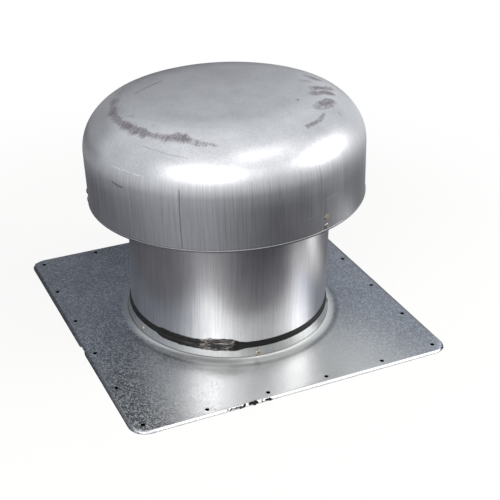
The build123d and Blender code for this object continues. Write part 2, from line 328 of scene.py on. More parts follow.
class Shader:
    """A material's or a world's node tree, with one call that adds a node with its settings and links."""

    def __init__(self, owner: bpy.types.Material | bpy.types.World) -> None:
        """Empties the owner's node tree."""
        owner.use_nodes = True
        self.owner = owner
        self.tree = owner.node_tree
        self.tree.nodes.clear()

    @classmethod
    def named(cls, name: str) -> Shader:
        """Starts a new material of that name."""
        return cls(bpy.data.materials.new(name))

    def add(self, kind: str, settings: dict | None = None, **inputs: object) -> bpy.types.Node:
        """Adds a node.

        Args:
            kind: The node's type without its ShaderNode prefix.
            settings: Properties of the node.
            inputs: Values, hex codes or other nodes' outputs for its inputs, by name with spaces as
                underscores, or by number as i0, i1 and so on.

        Returns:
            The new node.
        """
        node = self.tree.nodes.new("ShaderNode" + kind)
        for key, setting in (settings or {}).items():
            setattr(node, key, setting)
        for key, value in inputs.items():
            numbered = key[0] == "i" and key[1:].isdigit()
            socket = node.inputs[int(key[1:]) if numbered else key.replace("_", " ")]
            if isinstance(value, Value):
                self.tree.links.new(value.socket, socket)
            else:
                socket.default_value = hex_colour(value) if isinstance(value, str) else value
        return node

    def value(
        self, kind: str, settings: dict | None = None, output: int | str = 0, **inputs: object
    ) -> Value:
        """Adds a node as add() does and returns one of its outputs, by number or name."""
        return Value(self, self.add(kind, settings, **inputs).outputs[output])

    def math(self, operation: str, *values: object) -> Value:
        """Adds a math node and returns its output."""
        inputs = {f"i{place}": value for place, value in enumerate(values)}
        return self.value("Math", {"operation": operation}, **inputs)

    def vector(self, operation: str, *values: object, **inputs: object) -> Value:
        """Adds a vector math node and returns its output, which is a number for the three measures."""
        output = "Value" if operation in ("LENGTH", "DISTANCE", "DOT_PRODUCT") else "Vector"
        inputs.update({f"i{place}": value for place, value in enumerate(values)})
        return self.value("VectorMath", {"operation": operation}, output, **inputs)

    def ramp(self, value: object, low: float, high: float, start: object = 0.0, end: float = 1.0) -> Value:
        """Maps a value smoothly from low..high to start..end and returns the output."""
        settings = {"interpolation_type": "SMOOTHSTEP"}
        return self.value("MapRange", settings, i0=value, i1=low, i2=high, i3=start, i4=end)

    def mix(self, share: object, first: object, second: object) -> Value:
        """Mixes two colours and returns the output."""
        return self.value("Mix", {"data_type": "RGBA"}, 2, i0=share, i6=first, i7=second)

    def noise(self, spot: Value, scale: float, detail: float = 3.0, roughness: float = 0.5) -> Value:
        """Adds a noise texture and returns its value."""
        return self.value("TexNoise", Vector=spot, Scale=scale, Detail=detail, Roughness=roughness)

    def noise_vector(self, spot: Value, scale: float) -> Value:
        """Adds a noise texture and returns its three independent values."""
        return self.value("TexNoise", output="Color", Vector=spot, Scale=scale, Detail=2.0)

    def object_point(self, frame: Frame = PIPE_FRAME) -> Value:
        """Returns the surface point in a frame's own millimetres."""
        place, turn, size = frame.matrix().inverted().decompose()
        return self.value(
            "Mapping", {"vector_type": "POINT"}, Vector=self.value("TexCoord", output="Object"),
            Location=place, Rotation=turn.to_euler(), Scale=size,
        )

    def plan_map(self, frame: Frame) -> Value:
        """Returns the surface point in a frame's millimetres with its height left out."""
        return self.vector("MULTIPLY", self.object_point(frame), (1, 1, 0))

    def drum_map(self, frame: Frame, radius: float) -> Value:
        """Unrolls a round piece to a flat map, in millimetres.

        Args:
            frame: The piece's frame.
            radius: Radius at which the arc is measured.

        Returns:
            A vector of the arc length round the piece and the height along its axis.
        """
        forwards, aside, level = self.object_point(frame).parts()
        arc = self.math("ARCTAN2", aside, forwards) * radius
        return self.value("CombineXYZ", i0=arc, i1=level, i2=0.0)

    def around_point(self, frame: Frame, radius: float, along: float) -> Value:
        """Returns a point that changes with the azimuth and, slowed down, along the axis.

        A pattern read there is a set of lines along the axis, with no seam round the piece.

        Args:
            frame: The frame of the round piece.
            radius: Radius that gives the pattern its size round the piece.
            along: Factor for the direction along the axis.

        Returns:
            The point.
        """
        ring = self.vector("SCALE", self.vector("NORMALIZE", self.plan_map(frame)), Scale=radius)
        return self.vector("ADD", ring, self.vector("MULTIPLY", self.object_point(frame), (0, 0, along)))

    def warp(self, spot: Value, scale: float, reach: float) -> Value:
        """Shifts a place by slow noise, so that what is drawn there has uneven edges.

        Args:
            spot: The place.
            scale: Of the noise, per unit of the place.
            reach: Largest shift.

        Returns:
            The shifted place, at the same level.
        """
        shift = self.vector("SUBTRACT", self.noise_vector(spot, scale), (0.5, 0.5, 0.5))
        return self.vector("MULTIPLY_ADD", shift, (2 * reach, 2 * reach, 0.0), spot)

    def strokes(self, spot: Value, places: Sequence[Vector], width: float, core: float = 0.2) -> Value:
        """Draws a chain of straight strokes on a map.

        Args:
            spot: The place on the map.
            places: The ends of the strokes, two or more.
            width: Half a stroke's width, in the map's unit.
            core: Share of the width that is even.

        Returns:
            1 on the strokes and 0 beyond their width.
        """
        total = 0.0
        for start, end in zip(places, places[1:]):
            along = end - start
            away = self.vector("SUBTRACT", spot, start)
            share = self.value("Clamp", Value=self.vector("DOT_PRODUCT", away, along / along.length_squared))
            gap = self.vector("DISTANCE", away, self.vector("SCALE", along, Scale=share))
            total = self.math("MAXIMUM", total, self.ramp(gap, width * core, width, 1.0, 0.0))
        return total

    def marks(self, spot: Value, marks: Iterable[Mark], skirt_radius: float | None = None) -> Value:
        """Draws marks on one of the cap's maps.

        Args:
            spot: Place on the map.
            marks: The marks.
            skirt_radius: Given if the map is the unrolled skirt and not the plan.

        Returns:
            Strength of the strongest mark there.
        """
        total = 0.0
        for mark in marks:
            drawn = self.strokes(spot, mark.places(skirt_radius), mark.width)
            total = self.math("MAXIMUM", total, drawn * mark.strength)
        return total

    def seen_rays(self) -> Value:
        """Returns 1 for camera, glossy and transmission rays, which see the white background."""
        path = self.add("LightPath").outputs
        rays = [Value(self, path[f"Is {kind} Ray"]) for kind in ("Camera", "Glossy", "Transmission")]
        return self.math("MAXIMUM", self.math("MAXIMUM", rays[0], rays[1]), rays[2])

    def bump(self, height: Value, distance: float, **normal: Value) -> Value:
        """Adds a bump of a depth in millimetres, on another Normal if one is given."""
        return self.value("Bump", Height=height, Distance=distance * METRE, Strength=1.0, **normal)

    def finish(self, surface: Value) -> bpy.types.Material:
        """Ends the material's tree in a surface and returns the material."""
        self.add("OutputMaterial", Surface=surface)
        return self.owner

    def finish_floor(self, surface: Value) -> bpy.types.Material:
        """Ends the tree in a surface that is clear from below, where the vent's underside is looked at."""
        behind, clear = self.value("NewGeometry", output="Backfacing"), self.value("BsdfTransparent")
        return self.finish(self.value("MixShader", i0=behind, i1=surface, i2=clear))

    def principled(self, **inputs: object) -> bpy.types.Material:
        """Ends the material's tree in a principled shader and returns the material."""
        return self.finish(self.value("BsdfPrincipled", **inputs))


@dataclass(frozen=True)
class SpangledZinc:
    """Hot-dip galvanised sheet: frozen zinc crystals show as a fine mottle of greys.

    Attributes:
        name: The material's name.
        pale: Colour of the brightest crystals.
        dark: Colour of the dullest ones.
        burnished: Colour of the drawn neck, where the die has flattened the crystals, laid on more strongly
            at the neck's front as painted sheen, and of the painted sheen patch towards the front.
        pressed: Near-white colour painted on the front margin, short of its left end, as a painted
            reflection.
        spangle: Width of a crystal. Real ones are 1 to 3 mm, and this size still shows.
        roughness: Mean roughness.
        coarse_spot: Where the crystals show most, in the pipe's own millimetres (x to the front): their grey
            contrast is real spangle, laid on strongest here partly as a painted sparkle.
        clean_spot: Middle of a patch towards the front that is painted lighter, a painted sheen.
        drawn_inside: Radius within which the neck is drawn up.
        gap_radius: Radius inside which the sheet is darkened, painted shade in the gap under the collar
            band.
        ring_radius: Middle of the ring darkened round the flare's foot, painted shade that is deeper at the
            front.
        bend_line: Distance from the middle to the margin's bend.
    """

    name: str = "spangled_zinc"
    pale: str = "A3ACB6"
    dark: str = "646873"
    burnished: str = "D2D5D5"
    pressed: str = "F2F3F4"
    spangle: float = 1.6
    roughness: float = 0.37
    coarse_spot: tuple[float, float, float] = (250.0, -190.0, 0.0)
    clean_spot: tuple[float, float, float] = (265.0, -40.0, 0.0)
    drawn_inside: float = 164.0
    gap_radius: float = 157.4
    ring_radius: float = 172.0
    bend_line: float = 247.0

    def material(self) -> bpy.types.Material:
        """Builds the material: crystals differ in grey and in gloss, over broad dull patches, with painted
        sheen and shade.
        """
        shader = Shader.named(self.name)
        point = shader.object_point()
        flat_point = shader.plan_map(PIPE_FRAME)
        forwards, aside, _ = flat_point.parts()
        in_front = shader.ramp(forwards, -40.0, 120.0)
        radius = shader.vector("LENGTH", flat_point)
        drawn = shader.ramp(radius, self.drawn_inside - 6, self.drawn_inside + 9, 1.0, 0.0)

        bent = shader.vector("MULTIPLY_ADD", shader.noise_vector(point, 0.12), (3, 3, 3), point)
        cells = shader.value("TexVoronoi", output="Color", Vector=bent, Scale=1 / self.spangle)
        crystal = shader.value("SeparateColor", i0=cells)
        # Crystal contrast is strongest near the front left: real spangle, partly a painted sparkle.
        from_coarse = shader.vector("DISTANCE", point, self.coarse_spot)
        coarse = shader.ramp(from_coarse, 60.0, 330.0, 1.0, 0.25) * (1.0 - drawn * 0.85)
        grey = (crystal ** 2.5 * 2.1 - 0.4) * coarse + 0.33
        grain = shader.noise(point, 0.7, 3.0, 0.7) * coarse
        shade = grey * 0.75 + shader.noise(point, 0.012, 4.0, 0.6) * 0.25
        tone = shader.mix(shader.ramp(shade, 0.15, 0.85), self.dark, self.pale)

        # Painted sheen: the drawn neck takes the lighter colour, more at its front, and so does a broad
        # patch towards the front.
        tone = shader.mix(drawn * (in_front * 0.4 + 0.2), tone, self.burnished)
        from_sheen = shader.vector("DISTANCE", point, self.clean_spot)
        tone = shader.mix(shader.ramp(from_sheen, 60.0, 310.0, 0.8, 0.0), tone, self.burnished)
        # Painted reflection: the front margin, short of its left end, is turned near white.
        margin = shader.ramp(forwards, self.bend_line - 0.3, self.bend_line + 1.2, 0.0, 0.85)
        corner = shader.ramp(aside, -self.bend_line + 5, -self.bend_line + 45)
        tone = shader.mix(margin * corner, tone, self.pressed)

        # Painted shade: the side margins, the gap under the collar band and a ring round the flare's foot,
        # deeper at its front, are darkened.
        side_shade = shader.ramp(abs(aside), self.bend_line - 1.5, self.bend_line + 1.0, 1.0, 0.45)
        gap_shade = shader.ramp(radius, self.gap_radius, self.gap_radius + 1.8, 0.3, 1.0)
        ring_shade = shader.ramp(abs(radius - self.ring_radius), 1.0, 6.5, 1.0 - in_front * 0.4, 1.0)
        tone = shader.vector("SCALE", tone, Scale=gap_shade * ring_shade * side_shade)
        waves = shader.bump(shader.noise(point, 0.011, 1.5), 0.5)
        return shader.principled(
            Base_Color=tone, Metallic=1.0, Roughness=grey * 0.14 + (self.roughness - 0.07),
            Normal=shader.bump(grain * 0.6 + grey * 0.4, 0.024, Normal=waves),
        )


@dataclass(frozen=True)
class RolledZinc:
    """Galvanised sheet rolled to a pipe: fine lines run along it from the mill rolls.

    Attributes:
        name: The material's name.
        pale: Colour of the clean metal.
        dark: Colour in the lines and dull patches.
        line: Spacing of the lines. Real ones are under 1 mm, and this still shows.
        roughness: Mean roughness.
    """

    name: str = "rolled_zinc"
    pale: str = "CFD0D1"
    dark: str = "B7B6BB"
    line: float = 1.7
    roughness: float = 0.32

    def material(self) -> bpy.types.Material:
        """Builds the material: lines along the pipe, soft clouds and small specks."""
        shader = Shader.named(self.name)
        point = shader.object_point()
        lines = shader.noise(shader.around_point(PIPE_FRAME, PIPE_RADIUS, 0.02), 1 / self.line, 3.0, 0.65)
        shade = lines * 0.75 + shader.noise(point, 0.03, 3.0, 0.55) * 0.25
        height = lines * 0.6 + shader.noise(point, 0.6, 2.0, 0.6) * 0.4
        return shader.principled(
            Base_Color=shader.mix(shader.ramp(shade, 0.3, 0.7), self.dark, self.pale), Metallic=1.0,
            Roughness=lines * 0.06 + (self.roughness - 0.03), Normal=shader.bump(height, 0.013),
        )


@dataclass(frozen=True)
class Mark:
    """A mark from handling, or the painted shade of a dent or crease, as a chain of straight strokes on the
    cap.

    Attributes:
        points: Azimuths in degrees, each with a radius on the top or a height over the rim at the side.
        width: Half its width, no finer than the render can show.
        strength: From 0 to 1.
    """

    points: tuple[Point, ...]
    width: float
    strength: float

    def places(self, skirt_radius: float | None) -> list[Vector]:
        """Returns its points on the cap's plan or, if the skirt's radius is given, on the unrolled skirt."""
        if skirt_radius is None:
            turns = [(math.radians(azimuth), radius) for azimuth, radius in self.points]
            return [Vector((radius * math.cos(turn), radius * math.sin(turn), 0)) for turn, radius in turns]
        return [Vector((math.radians(azimuth) * skirt_radius, height, 0)) for azimuth, height in self.points]


@dataclass(frozen=True)
class DrawnZinc:
    """Galvanised sheet deep-drawn in a press: smooth on top, scored along the skirt.

    Attributes:
        name: The material's name.
        pale: Colour of the smooth metal.
        dark: Colour in the scores.
        scuff: Colour of the rubbed dark marks and deep scores, and of the painted shade in each dent and
            crease.
        bright: Colour of fresh scratches.
        line: Spacing of the scores, drawn a little coarser than the real ones so that they show.
        roughness: Mean roughness of the smooth metal.
        scored_below: Height over the rim under which the die has scored the metal.
        radius: Of the skirt, for the marks at the side.
        rub_turn: Direction in which the top was rubbed, in radians from the front.
        rubs: Smudges on the top, ragged at their edges.
        dents: Thin dark lines on the top, each the painted shade of a dent.
        creases: Dark lines at the side, each the painted shade of a crease.
        scratches: Bright lines at the side.
    """

    name: str = "drawn_zinc"
    pale: str = "C1C4C9"
    dark: str = "A8ABB1"
    scuff: str = "68636A"
    bright: str = "F0F1F2"
    line: float = 1.15
    roughness: float = 0.35
    scored_below: float = 104.0
    radius: float = 207.0
    rub_turn: float = 2.2
    rubs: tuple[Mark, ...] = (
        Mark(((-130, 157), (-114.6, 156)), 15, 0.5),
        Mark(((-114.6, 156), (-105.4, 158.7)), 14, 0.85),
        Mark(((-105.4, 158.7), (-97, 162.1)), 12, 1.0),
        Mark(((-97, 162.1), (-88, 163.6), (-79.3, 162.8)), 11, 1.0),
        Mark(((-79.3, 162.5), (-71.3, 162), (-63.7, 161.5)), 12, 1.0),
        Mark(((-63.7, 161.5), (-52.1, 161.4)), 10, 0.8),
        Mark(((-52.1, 160.8), (-47.4, 156.8), (-43, 158.7)), 13, 1.0),
        Mark(((-43, 158.7), (-35.1, 164.5)), 9, 0.85),
        Mark(((-35.1, 164.5), (-28.2, 169.4)), 6.5, 0.7),
        Mark(((-104, 148), (-84, 153), (-62, 152)), 20, 0.36),
        Mark(((93, 141.8), (85.4, 148.7)), 13, 0.85),
        Mark(((83.6, 121.4), (80.4, 131.3)), 9, 0.6),
        Mark(((67.8, 133.7), (71.7, 158)), 13.5, 1.0),
        Mark(((59.5, 133), (63.7, 154.5)), 13.5, 1.0),
        Mark(((53.1, 157), (45.1, 148.6)), 14, 1.0),
        Mark(((47.3, 158.6), (38.9, 146.8)), 10, 0.85),
        Mark(((36, 160.8), (25.4, 165.8)), 5.5, 0.9),
        Mark(((25.4, 165.8), (19.4, 166.1)), 6.0, 0.8),
        Mark(((42.7, 113.9), (43.3, 114.9)), 4.5, 0.9),
        Mark(((45, 172.7), (44.4, 175.7)), 2.4, 0.9),
    )
    dents: tuple[Mark, ...] = (
        Mark(((-118.7, 126.3), (-129.5, 115.3), (-145.6, 106.1)), 2.0, 0.65),
    )
    creases: tuple[Mark, ...] = (
        Mark(((-61.1, 131.9), (-51.4, 130), (-38.6, 126.9)), 1.0, 0.25),
        Mark(((-41, 90), (-41.4, 54.5), (-41.3, 5)), 1.4, 0.6),
        Mark(((-71.5, 79.9), (-66.2, 77.4)), 2.4, 0.6),
        Mark(((-69.8, 78), (-65.6, 78.8)), 1.8, 0.5),
        Mark(((-80.4, 84), (-80.6, 40)), 1.6, 0.35),
        Mark(((-84.5, 70), (-84.6, 22)), 1.6, 0.4),
        Mark(((-77.6, 60), (-77.8, 30)), 1.2, 0.3),
        Mark(((-88.5, 90), (-88.8, 50)), 1.6, 0.35),
    )
    scratches: tuple[Mark, ...] = (
        Mark(((-73, 100.6), (-64.9, 102), (-55.5, 100.4)), 1.2, 0.4),
        Mark(((-42.2, 88), (-42.4, 10)), 1.1, 0.3),
        Mark(((16.3, 48), (23.2, 49.5)), 1.0, 0.5),
        Mark(((7.9, 28.2), (12.7, 31.7)), 1.0, 0.4),
    )

    def material(self) -> bpy.types.Material:
        """Builds the material: scores under the shoulder, faint clouds, the marks of handling and painted
        shade.
        """
        shader = Shader.named(self.name)
        plan = shader.plan_map(CAP_FRAME)
        side = shader.drum_map(CAP_FRAME, self.radius)
        arc, level, _ = side.parts()
        around_cap = shader.around_point(CAP_FRAME, self.radius, 0.012)
        fine = shader.noise(around_cap, 1 / self.line, 3.0, 0.7)
        coarse = shader.noise(around_cap, 0.5 / self.line, 2.0, 0.5)
        clouds = shader.noise(shader.object_point(), 0.022, 4.0, 0.6)
        specks = shader.noise(shader.object_point(), 0.45, 3.0, 0.65)

        ragged = fine * 18.0 + level - shader.ramp(arc, 10.0, 130.0, 0.0, 9.0)
        scored = shader.ramp(ragged, self.scored_below - 6, self.scored_below + 14, 1.0, 0.0)
        lines = fine * 0.95 + coarse * 0.05
        smooth = specks * 0.6 + clouds * 0.4
        shade = shader.value("Mix", {"data_type": "FLOAT"}, i0=scored, i2=smooth, i3=lines)
        tone = shader.mix(shader.ramp(shade, 0.3, 0.7), self.dark, self.pale)
        tone = shader.mix(shader.ramp(lines, 0.36, 0.48, 0.1, 0.0) * scored, tone, self.scuff)

        on_top = shader.ramp(level, 100.0, 110.0)
        uneven = shader.warp(shader.warp(plan, 0.035, 6.0), 0.25, 2.0)
        rubbed = shader.marks(uneven, self.rubs) * on_top
        turned = shader.value(
            "Mapping", {"vector_type": "TEXTURE"}, Vector=plan, Rotation=(0, 0, self.rub_turn)
        )
        hatch = shader.vector("MULTIPLY", turned, (0.07, 0.34, 0.0))
        streaks = shader.ramp(shader.noise(hatch, 1.0, 3.0, 0.6), 0.3, 0.7, -0.2, 0.2)
        patches = shader.ramp(shader.noise(plan, 0.055, 2.0), 0.35, 0.65, -0.2, 0.12)
        speckled = (specks - 0.5) * 2.2 + rubbed + streaks + patches
        broken = shader.ramp(speckled, 0.1, 1.3, 0.0, 0.88) * shader.ramp(rubbed, 0.0, 0.4)
        tone = shader.mix(broken, tone, self.scuff)
        # Painted shade: thin dark lines on the top, one for each dent.
        tone = shader.mix(shader.marks(plan, self.dents) * on_top, tone, self.scuff)

        side = shader.warp(side, 0.05, 0.9)
        # Painted shade: dark lines down the side, one for each crease.
        tone = shader.mix(shader.marks(side, self.creases, self.radius), tone, self.scuff)
        scratched = shader.marks(side, self.scratches, self.radius) * shader.ramp(specks, 0.35, 0.6)
        tone = shader.mix(scratched, tone, self.bright)
        # Painted shade: the colour is darkened towards the rim, down to 0.4 of it on the lip, so that the
        # lip shows only a faint line.
        tone = shader.vector("SCALE", tone, Scale=shader.ramp(level, 2.8, 4.6, 0.4, 1.0))
        first_scored = scored * shader.ramp(level, 52.0, 88.0)
        rough = shade * 0.1 + broken * 0.2 + scored * 0.08 + first_scored * 0.13 + (self.roughness - 0.05)
        scores = shader.bump(lines * scored, 0.05)
        return shader.principled(
            Base_Color=tone, Metallic=1.0, Roughness=rough, Normal=shader.bump(specks, 0.02, Normal=scores),
        )


@dataclass(frozen=True)
class ButylSealant:
    """Black butyl sealant: a soft gloss where it was smoothed, dull where dust sticks.

    Attributes:
        name: The material's name.
        colour: Colour of the sealant.
        dust: Colour of the dust on it.
        skin: Pale colour painted along the strands' ridges, a painted highlight.
        roughness: Mean roughness.
        pulled: Azimuths between which it is pulled into strands.
    """

    name: str = "butyl_sealant"
    colour: str = "0B0B0D"
    dust: str = "2E2C30"
    skin: str = "C4BEBC"
    roughness: float = 0.42
    pulled: tuple[float, float] = (-45.0, -19.0)

    def material(self) -> bpy.types.Material:
        """Builds the material: black, pulled into strands where the gun was lifted, with a pale painted
        highlight along their ridges.
        """
        shader = Shader.named(self.name)
        point = shader.object_point()
        side = shader.drum_map(PIPE_FRAME, PIPE_RADIUS)
        arc = side.parts()[0]
        wrinkles = shader.noise(point, 0.16, 4.0, 0.6)
        dust = shader.ramp(shader.noise(point, 0.05, 3.0, 0.6), 0.5, 0.75, 0.0, 0.2)
        first, last = (math.radians(azimuth) * PIPE_RADIUS for azimuth in self.pulled)
        zone = shader.ramp(arc, first, first + 14) * shader.ramp(arc, last - 10, last, 1.0, 0.0)
        strands = shader.noise(shader.vector("MULTIPLY", side, (0.03, 0.26, 0.0)), 1.0, 2.0, 0.5)
        broken_up = shader.ramp(shader.noise(point, 0.06, 1.0), 0.4, 0.55)
        # Painted highlight: pale colour laid along the ridges of the pulled strands.
        ridge = shader.ramp(abs(strands - 0.5), 0.0, 0.04, 1.0, 0.0) * zone * broken_up
        tone = shader.mix(ridge * 0.75, shader.mix(dust, self.colour, self.dust), self.skin)
        folds = shader.bump(strands * zone, 2.2)
        return shader.principled(
            Base_Color=tone, Roughness=wrinkles * 0.2 - zone * 0.12 + (self.roughness - 0.1),
            Specular_IOR_Level=0.35, Normal=shader.bump(wrinkles, 0.4, Normal=folds),
        )


@dataclass(frozen=True)
class RustedRivet:
    """Zinc-plated steel rivet: grey plating, with rust in patches where it has gone.

    Attributes:
        name: The material's name.
        metal: Colour of what plating is left.
        rust: Main colour of the rust.
        deep: Colour of the oldest rust.
        share: How much of the head is rusty, from 0 to 1.
    """

    name: str = "rusted_rivet"
    metal: str = "B4B3B0"
    rust: str = "94784F"
    deep: str = "4E4232"
    share: float = 0.5

    def material(self) -> bpy.types.Material:
        """Builds the material: patches of rust, matt where the metal shines."""
        shader = Shader.named(self.name)
        point = shader.object_point()
        first_rust = 0.66 - self.share * 0.4
        rust = shader.ramp(shader.noise(point, 0.32, 4.0, 0.65), first_rust, first_rust + 0.12)
        grain = shader.noise(point, 1.3, 3.0, 0.6)
        brown = shader.mix(shader.ramp(grain, 0.35, 0.65), self.deep, self.rust)
        return shader.principled(
            Base_Color=shader.mix(rust, self.metal, brown), Metallic=1.0 - rust,
            Roughness=rust * 0.45 + 0.38, Normal=shader.bump(grain, 0.12),
        )


@dataclass(frozen=True)
class PlainZinc:
    """Electro-galvanised strip and wire: an even pale grey with slight cloudiness.

    Attributes:
        name: The material's name.
        colour: Main colour.
        cloud: Colour of its duller patches.
        roughness: Mean roughness.
    """

    name: str = "plain_zinc"
    colour: str = "B0B3B6"
    cloud: str = "8D9196"
    roughness: float = 0.4

    def material(self) -> bpy.types.Material:
        """Builds the material: clouds over a fine grain."""
        shader = Shader.named(self.name)
        clouds = shader.ramp(shader.noise(shader.object_point(), 0.05, 3.0, 0.6), 0.35, 0.65)
        grain = shader.noise(shader.object_point(), 0.8, 2.0, 0.6)
        return shader.principled(
            Base_Color=shader.mix(clouds, self.cloud, self.colour), Metallic=1.0,
            Roughness=grain * 0.15 + (self.roughness - 0.07), Normal=shader.bump(grain, 0.04),
        )


@dataclass(frozen=True)
class Finishes:
    """The vent's materials, built once."""

    flashing: bpy.types.Material
    band: bpy.types.Material
    pipe: bpy.types.Material
    cap: bpy.types.Material
    sealant: bpy.types.Material
    crumbs: bpy.types.Material
    rusty: bpy.types.Material
    plated: bpy.types.Material
    dull: bpy.types.Material
    plain: bpy.types.Material

    @classmethod
    def build(cls) -> Finishes:
        """Builds every material of the vent."""
        return cls(
            flashing=SpangledZinc().material(),
            band=RolledZinc("band_zinc", "D9DBDB", "CBCCCD", 3.0, 0.3).material(),
            pipe=RolledZinc().material(),
            cap=DrawnZinc().material(),
            sealant=ButylSealant().material(),
            crumbs=ButylSealant("dry_sealant", "08070E", "1E1C26", roughness=0.8).material(),
            rusty=RustedRivet().material(),
            plated=RustedRivet("plated_rivet", "A19C96", share=0.35).material(),
            dull=RustedRivet("dull_rivet", "636466", "75685A", share=0.3).material(),
            plain=PlainZinc().material(),
        )


def dress(piece: bpy.types.Object, material: bpy.types.Material, slot: str, *nodes: str) -> bpy.types.Object:
    """Gives a piece its material and its body, and hides the CAD nodes that it stands for.

    Args:
        piece: The new piece.
        material: Its material.
        slot: The record's material slot. Not used.
        nodes: CAD nodes that it replaces.

    Returns:
        The piece.
    """
    piece.data.materials.clear()
    piece.data.materials.append(material)
    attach(piece, BODY)
    if nodes:
        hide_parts(*nodes)
    log.info("%s: %d faces", piece.name, len(piece.data.polygons))
    return piece


class SubAssembly(ABC):
    """A part of the vent that is built in one go."""

    @abstractmethod
    def build(self, finishes: Finishes) -> list[bpy.types.Object]:
        """Builds the sub-assembly's pieces.

        Args:
            finishes: The vent's materials.

        Returns:
            The dressed pieces.
        """


